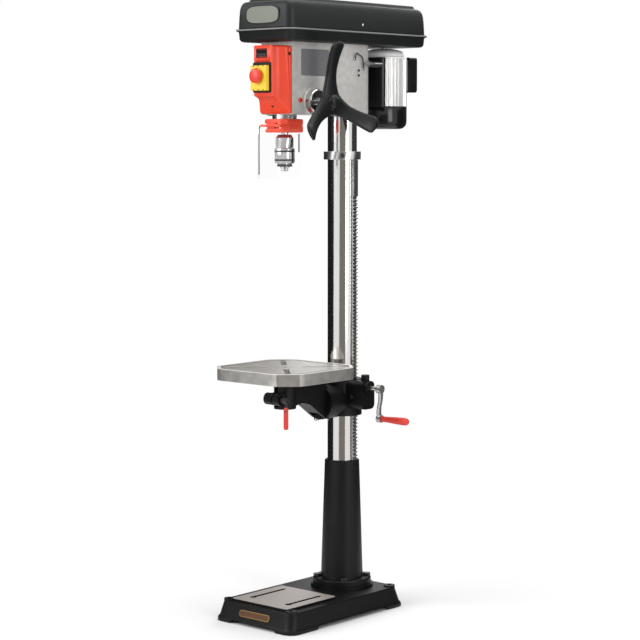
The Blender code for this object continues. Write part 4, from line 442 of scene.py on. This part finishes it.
def signed_power(value, power):
    """A power of a number's size, with its sign kept; it squares off the round of a circle."""
    return math.copysign(abs(value) ** power, value)


def arc(centre, radius, start, end, steps):
    """Points from one angle to another, in degrees."""
    angles = (math.radians(start + (end - start) * k / steps) for k in range(steps + 1))
    return [(centre[0] + radius * math.cos(t), centre[1] + radius * math.sin(t)) for t in angles]


def circle(radius, steps, centre=(0.0, 0.0)):
    """Points all round a circle."""
    return arc(centre, radius, 0, 360 * (steps - 1) / steps, steps - 1)


def rounded(low, high, radius, steps=6):
    """The outline of a rectangle with round corners."""
    (a0, b0), (a1, b1) = low, high
    r = min(radius, (a1 - a0) / 2.001, (b1 - b0) / 2.001)
    corners = ((a1 - r, b1 - r, 0), (a0 + r, b1 - r, 90), (a0 + r, b0 + r, 180), (a1 - r, b0 + r, 270))
    points = []
    for a, b, start in corners:
        points += arc((a, b), r, start, start + 90, steps)
    return points


def turned(profile, axis, centre, segments):
    """A body of revolution from (radius, place along the axis); a radius of 0 closes it."""
    shape = bmesh.new()
    rings = []
    for radius, along in profile:
        if radius == 0:
            rings.append([shape.verts.new(spot(axis, *centre, along))] * segments)
        else:
            rings.append([shape.verts.new(spot(axis, a, b, along))
                          for a, b in circle(radius, segments, centre)])
    pairs = list(zip(rings, rings[1:]))
    if profile[0][0] and profile[-1][0]:
        pairs.append((rings[-1], rings[0]))
    for low, high in pairs:
        for k in range(segments):
            after = (k + 1) % segments
            corners = list(dict.fromkeys((low[k], low[after], high[after], high[k])))
            if len(corners) > 2:
                shape.faces.new(corners)
    bmesh.ops.recalc_face_normals(shape, faces=shape.faces)
    return shape


def rod(points, radius, segments=10):
    """A round bar along a path."""
    rings = []
    for k, point in enumerate(points):
        before, after = points[max(0, k - 1)], points[min(len(points) - 1, k + 1)]
        along = (Vector(after) - Vector(before)).normalized()
        side = along.orthogonal().normalized() if k == 0 else (side - along * side.dot(along)).normalized()
        other = along.cross(side)
        rings.append([Vector(point) + side * a + other * b for a, b in circle(radius, segments)])
    return skin(rings)


def add(name, shapes, paint, body, replaced=(), width=0.0005):
    """One piece in the machine frame, made of one or more shapes, that rides on a body."""
    mesh = bpy.data.meshes.new(name)
    whole = bmesh.new()
    for shape in shapes:
        part = bpy.data.meshes.new("part")
        shape.to_mesh(part)
        shape.free()
        whole.from_mesh(part)
        bpy.data.meshes.remove(part)
    whole.transform(Matrix.Translation(AXIS))
    whole.to_mesh(mesh)
    whole.free()
    item = linked(name, mesh)
    mesh.materials.append(MATERIALS[paint])
    mesh.shade_smooth()
    if width:
        soften(item, width)
    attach(item, body)
    if replaced:
        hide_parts(*replaced)
    return item


# ================================================================ belt guard
def guard_ring(inset, height):
    """A ring round the guard, inset from the pan's outer edge."""
    low, high, radius = GUARD_LOW, GUARD_HIGH, 0.023 - inset * 0.3
    points = rounded((low.x + inset, low.y + inset), (high.x - inset, high.y - inset), radius, 8)
    return [Vector((x, y, height)) for x, y in points]


def build_guard():
    """The lid with its stepped top, and the pan with its light edge and two hinge beads."""
    lip = 0.005
    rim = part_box("guard_lid")[0].z
    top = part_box("guard_lid")[1].z
    outer = [(lip, rim), (lip, rim + 0.002), (lip + 0.0012, rim + 0.030), (lip + 0.0025, rim + 0.048),
             (lip + 0.0045, rim + 0.057), (lip + 0.0080, rim + 0.0635), (lip + 0.0125, rim + 0.0665),
             (lip + 0.019, rim + 0.0680), (lip + 0.0205, rim + 0.0690), (lip + 0.022, top - 0.0022),
             (lip + 0.024, top - 0.0005), (lip + 0.027, top)]
    inner = [(inset + 0.0024, height - 0.0024) for inset, height in outer[2:]]
    rings = [guard_ring(*ring) for ring in inner[::-1]] + [guard_ring(lip + 0.0024, rim)]
    rings += [guard_ring(*ring) for ring in outer]
    add("lid_shell", [skin(rings)], "black_sheet", "lid", ["guard_lid"], width=0)
    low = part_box("guard_pan")[0].z
    edge = rim - 0.0003
    outer = [(lip + 0.009, low), (lip + 0.0045, low + 0.0015), (lip + 0.0015, low + 0.006),
             (lip, edge - 0.008), (lip - 0.002, edge - 0.006), (0.0006, edge - 0.0052), (0, edge - 0.0040),
             (0, edge - 0.0008), (0.0008, edge)]
    inner = [(lip + 0.0028, edge), (lip + 0.0028, low + 0.007), (lip + 0.011, low + 0.0028)]
    rings = [guard_ring(*ring) for ring in outer + inner]
    band = [(0.0012, edge - 0.0046), (-0.0003, edge - 0.0043), (-0.0003, edge - 0.0010),
            (0.0012, edge - 0.0007)]
    band = [guard_ring(*ring) for ring in band]
    add("pan_edge", [skin(band + band[:1], caps=False)], "edge_grey", "frame", width=0)
    beads = [rod([(HINGE.x, y, HINGE.z), (HINGE.x, y + 0.045, HINGE.z)], 0.0025, 16) for y in (-0.190, 0.100)]
    add("pan_shell", [skin(rings)] + beads, "black_sheet", "frame", ["guard_pan"], width=0)


# ================================================================ head, switch and controls
def section(y, half, low, high, corner):
    """A ring across the switch housing at a depth."""
    return [spot("Y", x, z, y) for x, z in rounded((-half, low), (half, high), corner, 5)]


def build_switch():
    """The housing narrows from its wide back to a raised panel with a well, and its foot slopes back."""
    low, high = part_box("switch_housing")
    low.z -= SWITCH_DROP
    top, back, front = high.z, high.y - AXIS.y, low.y - AXIS.y
    sizes = [(back, 0.0518, low.z, 0.006), (back - 0.0085, 0.0522, low.z, 0.006),
             (back - 0.0092, 0.0512, low.z + 0.001, 0.006), (back - 0.0104, 0.0512, low.z + 0.001, 0.006),
             (back - 0.0110, 0.0522, low.z, 0.006), (back - 0.0190, 0.0505, low.z + 0.0005, 0.007),
             (back - 0.0235, 0.0468, low.z + 0.007, 0.008), (back - 0.0270, 0.0415, low.z + 0.018, 0.008),
             (back - 0.0305, 0.0368, low.z + 0.027, 0.007), (back - 0.0350, 0.0338, low.z + 0.034, 0.006),
             (front + 0.0080, 0.0318, low.z + 0.0395, 0.005), (front + 0.0022, 0.0308, low.z + 0.042, 0.004),
             (front + 0.0006, 0.0298, low.z + 0.043, 0.0035), (front, 0.0284, low.z + 0.0445, 0.003)]
    rings = [section(y, half, bottom, top - max(0.0, half - 0.050) * 0.4, corner)
             for y, half, bottom, corner in sizes]
    well = (0.0225, 1.352, 1.409, 0.002)
    rings += [section(front, *well), section(front + 0.006, *well)]
    foot, root = low.z + 0.0445, back - 0.0015
    for ring in rings:
        for point in ring:
            slope = max(0.0, foot - point.z) / (foot - low.z)
            point.y = root + (point.y - root) * (1 - SWITCH_SLOPE * slope)
    add("switch_shell", [skin(rings)], "orange_plastic", "frame", ["switch_housing"], width=0)
    screws = []
    for x, y, z in ((0.0448, back - 0.0190, top - 0.021), (0.0, back - 0.0135, low.z + 0.019),
                    (-0.0448, back - 0.0190, top - 0.021)):
        head = [(0, y), (0.0034, y), (0.0034, y - 0.0016), (0.0026, y - 0.0022), (0, y - 0.0022)]
        screws.append(turned(head, "Y", (x, z), 16))
    # a thin raised black patch on the housing's right side stands for a notch: its black is painted shade in
    # the notch
    notch = rounded((back - 0.0125, top - 0.0245), (back - 0.0050, top - 0.0170), 0.0006)
    screws.append(prism(notch, "X", 0.0500, 0.0526))
    add("switch_screws", screws, "black_plastic", "frame", width=0)
    build_rocker(front)


def build_rocker(front):
    """The two-sided rocker and the bezel round it, on the switch housing's face."""
    low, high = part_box("light_rocker")
    left, right = low.x - AXIS.x, high.x - AXIS.x
    middle = (low.z + high.z) / 2
    profile = [(front - 0.0002, low.z), (front - 0.0020, low.z + 0.0003), (front - 0.0011, middle - 0.0004),
               (front - 0.0006, middle), (front - 0.0013, middle + 0.0004), (front - 0.0032, high.z - 0.0003),
               (front - 0.0002, high.z)]
    add("rocker_shell", [prism(profile, "X", left, right)], "black_plastic", "rocker", ["light_rocker"],
        width=0.0002)
    x0, x1, z0, z1 = left - 0.003, right + 0.003, low.z - 0.0030, high.z + 0.0030
    outer = rounded((x0, z0), (x1, z1), 0.003)
    inner = rounded((x0 + 0.0027, z0 + 0.0019), (x1 - 0.0027, z1 - 0.0019), 0.001)
    raised = front - 0.0014
    rings = [[spot("Y", a, b, y) for a, b in ring]
             for ring, y in ((inner, front), (outer, front), (outer, raised), (inner, raised))]
    add("rocker_bezel", [skin(rings + rings[:1], caps=False)], "black_plastic", "frame", width=0.0003)


def build_flap():
    """The notched flap with the ring round the stop button, and the button's dome."""
    low, high = (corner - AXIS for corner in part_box("switch_flap"))
    half, notch = high.x, 0.0032
    z0, z1 = low.z, high.z
    edge = [(-half, 0.0), (-0.019, 0.0), (-0.019, notch), (-0.0125, notch), (-0.0125, 0.0), (-0.004, 0.0),
            (-0.004, notch), (0.004, notch), (0.004, 0.0), (0.0125, 0.0), (0.0125, notch), (0.019, notch),
            (0.019, 0.0), (half, 0.0)]
    outline = [(x, z0 + z) for x, z in edge] + [(x, z1 - z) for x, z in reversed(edge)]
    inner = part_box("stop_mushroom")[1].x - AXIS.x + 0.0014
    ring = turned([(inner, low.y + 0.004), (inner + 0.0045, low.y + 0.004), (inner + 0.0040, low.y - 0.0008),
                   (inner + 0.0028, low.y - 0.0016), (inner, low.y - 0.0016)], "Y", STOP, 40)
    add("flap_shell", [prism(outline, "Y", low.y, high.y), ring], "yellow_plastic", "flap", ["switch_flap"],
        width=0.0007)
    low, high = (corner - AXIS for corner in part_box("stop_mushroom"))
    face, back, radius = low.y, high.y, high.x
    profile = [(0, back), (0.008, back), (0.008, face + 0.0125), (radius - 0.0012, face + 0.0122),
               (radius, face + 0.0105), (radius, face + 0.0062), (radius - 0.0008, face + 0.0038),
               (radius - 0.0030, face + 0.0018), (radius - 0.0070, face + 0.0005), (0.004, face), (0, face)]
    add("stop_dome", [turned(profile, "Y", STOP, 48)], "red_plastic", "stop", ["stop_mushroom"], width=0)


def build_head_trim():
    """Trim on the head's right side: the bare plate, the depth pointer, set screws and the knob's tether."""
    side, flank = HEAD_SIDE, HEAD_FLANK
    face = side + 0.0001
    sheet = prism(rounded((-0.218, 1.387), (-0.112, 1.453), 0.004), "X", face, face + 0.0008)
    add("side_plate", [sheet], "plate_grey", "frame", width=0.0003)
    disc = [(0, side), (0.0062, side), (0.0062, side + 0.0030), (0.0050, side + 0.0042), (0, side + 0.0042)]
    add("depth_pointer", [turned(disc, "X", POINTER, 24)], "red_plastic", "frame", width=0)
    head = [(0, side + 0.004), (0.0028, side + 0.004), (0.0028, side + 0.0050), (0, side + 0.0050)]
    add("pointer_screw", [turned(head, "X", POINTER, 16)], "black_plastic", "frame", width=0.0002)
    socket = [(0, flank), (0.0030, flank), (0.0030, 0.0676), (0.0024, 0.0680), (0.0014, 0.0680),
              (0.0014, 0.0668), (0, 0.0668)]
    screws = [turned(socket, "X", (-0.012, z), 20) for z in (1.4040, 1.3915)]
    add("set_screws", screws, "dark_steel", "frame", width=0)
    course = [(0.0650, -0.028, 1.4340), (0.0688, -0.028, 1.4360), (0.0700, -0.030, 1.4420),
              (0.0700, -0.023, 1.4480), (0.0700, -0.014, 1.4430), (0.0695, -0.006, 1.4405),
              (0.0695, -0.0005, 1.4350), (0.0690, 0.0015, 1.4235), (0.0688, 0.0035, 1.4120),
              (0.0650, 0.0050, 1.4085)]
    add("knob_tether", [rod(course, 0.0016)], "black_plastic", "frame", width=0)
    eye = [(0, flank), (0.0042, flank), (0.0042, 0.0672), (0.0030, 0.0680), (0, 0.0680)]
    eyes = [turned(eye, "X", place, 20) for place in ((-0.028, 1.4335), (0.0055, 1.4080))]
    add("tether_eyes", eyes, "chrome", "frame", width=0)


def build_depth_scale():
    """The collar that the feed shaft turns in, and the ticks round the depth ring."""
    boss = 0.061
    collar = [(0.0315, boss - 0.012), (0.0335, boss - 0.012), (0.0345, boss - 0.009), (0.0345, boss - 0.002),
              (0.0330, boss), (0.0315, boss)]
    add("feed_collar", [turned(collar, "X", FEED, 48)], "silver_casting", "frame", width=0)
    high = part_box("depth_ring")[1] - AXIS
    rim, ticks, count = high.z - FEED[1], [], 40
    for k in range(count):
        turn = Matrix.Rotation(math.tau * k / count, 4, "X")
        length = 0.007 if k % 5 == 0 else 0.0045
        tick = prism(rounded((-0.0003, -length), (0.0003, 0), 0.0001, 1), "Z", rim - 0.0004, rim + 0.00012)
        tick.transform(Matrix.Translation((0, *FEED)) @ turn @ Matrix.Translation((high.x - 0.0035, 0, 0))
                       @ Matrix.Rotation(-math.pi / 2, 4, "Z"))
        ticks.append(tick)
    add("depth_marks", ticks, "black_plastic", "depth_stop", width=0)


def build_collar_screw():
    """The black clamping screw in the face of the collar under the head."""
    low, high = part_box("rack_collar")
    z = (low.z + high.z) / 2
    screw = turned([(0, 0.040), (0.0062, 0.040), (0.0062, 0.0508), (0.0052, 0.0516), (0.0030, 0.0516),
                    (0.0030, 0.0500), (0, 0.0500)], "X", (0, 0), 24)
    screw.transform(Matrix.Translation((0, 0, z)) @ Matrix.Rotation(math.radians(COLLAR_SCREW_TURN), 4, "Z"))
    add("collar_screw", [screw], "dark_steel", "frame", width=0)


def feed_spoke(angle):
    """A spoke sweeps outward along the shaft, is narrow at its middle and widens to a paddle."""
    axis = Vector((0, *FEED))
    outward = Vector((0, math.sin(angle), math.cos(angle)))
    across = Vector((0, math.cos(angle), -math.sin(angle)))
    along = Vector((1, 0, 0))
    steps, rings = 22, []
    for k in range(steps + 1):
        share = k / steps
        reach = SPOKE_ROOT + SPOKE_LENGTH * share
        x = SPOKE_STAND + SPOKE_SWEEP * share ** 2.3
        # the width flares at the hub and widens again past the middle; the thickness falls toward the tip
        half = 0.0152 + 0.0095 * max(0.0, share - 0.40) ** 1.2 / 0.54 + 0.020 * (1 - share) ** 3.4
        thick = 0.0078 - 0.0020 * share + 0.003 * (1 - share) ** 4
        # the last eighth rounds off, and the broad side leans outward toward the tip
        tip = math.sqrt(max(0.0, 1 - max(0.0, (share - 0.88) / 0.12) ** 2.2))
        half, thick = half * (0.12 + 0.88 * tip), thick * (0.12 + 0.88 * tip)
        facing = (along - outward * (0.05 + 0.60 * share)).normalized()
        rings.append([axis + along * x + outward * reach
                      + across * half * signed_power(math.cos(t), 0.85)
                      + facing * thick * signed_power(math.sin(t), 0.85)
                      for t in (math.tau * j / 20 for j in range(20))])
    return skin(rings)


def build_feed():
    """The feed handle: a turned hub and three spokes."""
    low = HUB_START
    hub = [(0, low), (0.0150, low), (0.0165, low + 0.002), (0.0178, low + 0.012), (0.0180, low + 0.022),
           (0.0165, low + 0.029), (0.0125, low + 0.034), (0.0080, low + 0.036), (0, low + 0.0362)]
    spokes = [feed_spoke(math.radians(FIRST_SPOKE) + math.tau * k / 3) for k in range(3)]
    add("feed_spokes", [turned(hub, "X", FEED, 40)] + spokes, "black_satin", "feed", ["feed_handle"],
        width=0)


# ================================================================ motor
def build_motor():
    """The finned motor with its feet, the domed cap and the fan's cowl with its bars."""
    low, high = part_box("motor_body")
    y, radius, fins = MOTOR_Y, MOTOR_RADIUS, 40
    outline = []
    for k in range(fins):
        middle = math.tau * (k + 0.5) / fins
        for r, share in ((radius - 0.0040, -0.46), (radius - 0.0005, -0.20), (radius, -0.12), (radius, 0.12),
                         (radius - 0.0005, 0.20), (radius - 0.0040, 0.46)):
            turn = middle + share * math.tau / fins
            outline.append((r * math.cos(turn), y + r * math.sin(turn)))
    parts = [prism(outline, "Z", low.z, high.z),
             prism(rounded((-0.040, 0.1065), (0.040, 0.128), 0.004), "Z", low.z + 0.010, high.z - 0.010),
             prism(rounded((-0.036, 0.208), (0.036, 0.2295), 0.004), "Z", low.z + 0.041, high.z - 0.002)]
    add("motor_shell", parts, "cast_aluminium", "motor", ["motor_body"], width=0.0003)
    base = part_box("motor_top_cap")[0].z
    profile = [(0.010, base), (0.0612, base), (0.0615, base + 0.001), (0.0612, base + 0.005),
               (0.0590, base + 0.0055), (0.0588, base + 0.0075), (0.0570, base + 0.013),
               (0.0520, base + 0.018), (0.0440, base + 0.0220), (0.0340, base + 0.0245),
               (0.0260, base + 0.0258), (0.0100, base + 0.0262)]
    add("motor_dome", [turned(profile, "Z", (0, y), 56)], "white_silver", "motor", ["motor_top_cap"],
        width=0)
    low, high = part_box("motor_fan_cowl")
    floor = low.z
    profile = [(0.018, floor + 0.001), (0.020, floor), (0.040, floor), (0.0475, floor + 0.0012),
               (0.0540, floor + 0.0045), (0.0590, floor + 0.0100), (0.0612, floor + 0.0170),
               (0.0615, floor + 0.024), (0.0615, high.z - 0.001), (0.0609, high.z), (0.0595, high.z),
               (0.0595, floor + 0.018), (0.0500, floor + 0.004), (0.018, floor + 0.003)]
    bars = [rod([(0.045 * math.cos(t), y + 0.045 * math.sin(t), floor + 0.0022),
                 (-0.045 * math.cos(t), y - 0.045 * math.sin(t), floor + 0.0022)], 0.0014, 8)
            for t in (math.pi * k / 4 for k in range(4))]
    add("cowl_shell", [turned(profile, "Z", (0, y), 56)] + bars, "gloss_black", "motor", ["motor_fan_cowl"],
        width=0)


# ================================================================ chuck, shield and crank
def build_chuck():
    """The fluted sleeve that closes the chuck."""
    centre = SPINDLE
    low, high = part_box("chuck_sleeve")
    flutes = []
    for k in range(48):
        turn = math.tau * k / 48
        r = 0.0250 if k % 2 else 0.0242
        flutes.append((centre[0] + r * math.cos(turn), centre[1] + r * math.sin(turn)))
    rings = [[Vector((x * s, centre[1] + (y - centre[1]) * s, z)) for x, y in flutes]
             for s, z in ((0.80, low.z), (0.93, low.z), (1.0, low.z + 0.003), (1.0, high.z - 0.003),
                          (0.94, high.z), (0.80, high.z))]
    add("sleeve_shell", [skin(rings, caps=False)], "chrome", "sleeve", ["chuck_sleeve"],
        width=0)


def build_bands():
    """Dark rings round the chuck where it has knurl and grooves, their dark colour painted shade of those
    grooves, and the red sleeve on the lever under the table.
    """
    # the knurl and grooves are real, but these rings are raised and smooth: their dark steel is painted shade
    # of the grooves
    bands = [("chuck_groove_shade", "spindle_group", 0.0190, ((1.2215, 1.2265), (1.2095, 1.2135), (1.1600, 1.1640))),
             ("sleeve_groove_shade", "sleeve", 0.0250, ((1.1740, 1.1785), (1.1960, 1.2005)))]
    for name, body, r, places in bands:
        shapes = []
        for low, high in places:
            profile = [(r - 0.0006, low), (r + 0.0002, low), (r + 0.0003, low + 0.0004),
                       (r + 0.0003, high - 0.0004), (r + 0.0002, high), (r - 0.0006, high)]
            shapes.append(turned(profile, "Z", SPINDLE, 48))
        add(name, shapes, "dark_steel", body, width=0)
    grip = [(0, 0.4985), (0.0040, 0.4985), (0.0058, 0.5000), (0.0062, 0.5040), (0.0060, 0.5420),
            (0.0056, 0.5540), (0.0046, 0.5550), (0, 0.5550)]
    add("lever_grip", [turned(grip, "Z", (0.036, -0.2585), 24)], "red_plastic", "table_lever", width=0)


def build_clamp():
    """The clamp on the quill with its hinge pin, and the shield's two rods."""
    low, high = (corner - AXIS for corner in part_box("guard_clamp"))
    half, y0, y1 = 0.039, -0.2665, -0.1825
    rings = []
    for inset, z in ((0.012, low.z), (0.0025, low.z), (0.0008, low.z + 0.0015), (0, low.z + 0.004),
                     (0, low.z + 0.016), (0.0012, low.z + 0.017), (0.0012, low.z + 0.019), (0, low.z + 0.020),
                     (0, high.z - 0.004), (0.001, high.z - 0.0012), (0.003, high.z), (0.0075, high.z)):
        outline = rounded((-half + inset, y0 + inset), (half - inset, y1 - inset), 0.022, 8)
        rings.append([Vector((x, y, z)) for x, y in outline])
    lug = prism(rounded((-0.2725, 1.255), (-0.262, 1.269), 0.0045, 5), "X", -0.012, 0.012)
    pin = rod([(-0.034, -0.2728, SHIELD_PIN), (0.034, -0.2728, SHIELD_PIN)], 0.003, 16)
    add("clamp_shell", [skin(rings), lug, pin], "orange_plastic", "quill_group", ["guard_clamp"],
        width=0.0002)
    right = [(0.0405, -0.214, z) for z in (1.242, 1.218, 1.196)]
    left = [(-0.036, y, z) for y, z in ((-0.2745, SHIELD_PIN), (-0.2775, 1.255), (-0.2779, 1.200),
                                        (-0.2779, 1.140))]
    add("shield_rods", [rod(right, 0.0016), rod(left, 0.0013)], "black_plastic", "shield", width=0)


def build_crank():
    """The crank's turning grip."""
    low, high = (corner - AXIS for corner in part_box("crank_grip"))
    y, z = (low.y + high.y) / 2, (low.z + high.z) / 2
    a, b = low.x, high.x
    profile = [(0, a), (0.0070, a), (0.0078, a + 0.0015), (0.0074, a + 0.008), (0.0078, a + 0.022),
               (0.0092, a + 0.045), (0.0099, b - 0.020), (0.0099, b - 0.011), (0.0088, b - 0.0045),
               (0.0060, b - 0.0012), (0, b)]
    add("grip_shell", [turned(profile, "X", (y, z), 32)], "red_plastic", "crank_grip_body", ["crank_grip"],
        width=0)


# ================================================================ bare plates and small trim
def build_badges():
    """The bare badges on the lid and the base, and the lid's screw."""
    low, high = (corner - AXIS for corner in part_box("guard_lid"))
    z = low.z + 0.033
    face = low.y + 0.0012
    outline = [(0.053 * signed_power(math.cos(t), 0.55), z + 0.0205 * signed_power(math.sin(t), 0.6))
               for t in (math.tau * k / 48 for k in range(48))]
    border = [(a * 1.07, z + (b - z) * 1.13) for a, b in outline]
    add("lid_badge_rim", [prism(border, "Y", face - 0.0016, face + 0.001)], "black_plastic", "lid",
        width=0.0004)
    add("lid_badge", [prism(outline, "Y", face - 0.0024, face)], "sage_metal", "lid",
        width=0.0005)
    base_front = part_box("base_casting")[0].y - AXIS.y
    lean = Matrix.Rotation(math.pi / 2 - math.atan2(0.012, 0.038), 4, "X")
    seat = Matrix.Translation((0.002, base_front + 0.0072, 0.0300)) @ lean
    for name, half, rise, high, paint in (("base_badge_rim", 0.052, 0.0085, 0.0011, "gold_plate"),
                                          ("base_badge", 0.0505, 0.0070, 0.0016, "brown_plate")):
        badge = prism(rounded((-half, -rise), (half, rise), rise * 0.98, 8), "Z", 0, high)
        badge.transform(seat)
        add(name, [badge], paint, "frame", width=0.0003)
    face = GUARD_HIGH.x - 0.0063
    head = [(0, face - 0.001), (0.004, face - 0.001), (0.0036, face + 0.0018), (0, face + 0.0024)]
    screw = turned(head, "X", (-0.027, low.z + 0.0155), 20)
    add("lid_screw", [screw], "chrome", "lid", width=0)


build_stage()
dress_frame()
build_guard()
build_switch()
build_flap()
build_head_trim()
build_depth_scale()
build_collar_screw()
build_feed()
build_motor()
build_chuck()
build_bands()
build_clamp()
build_crank()
build_badges()
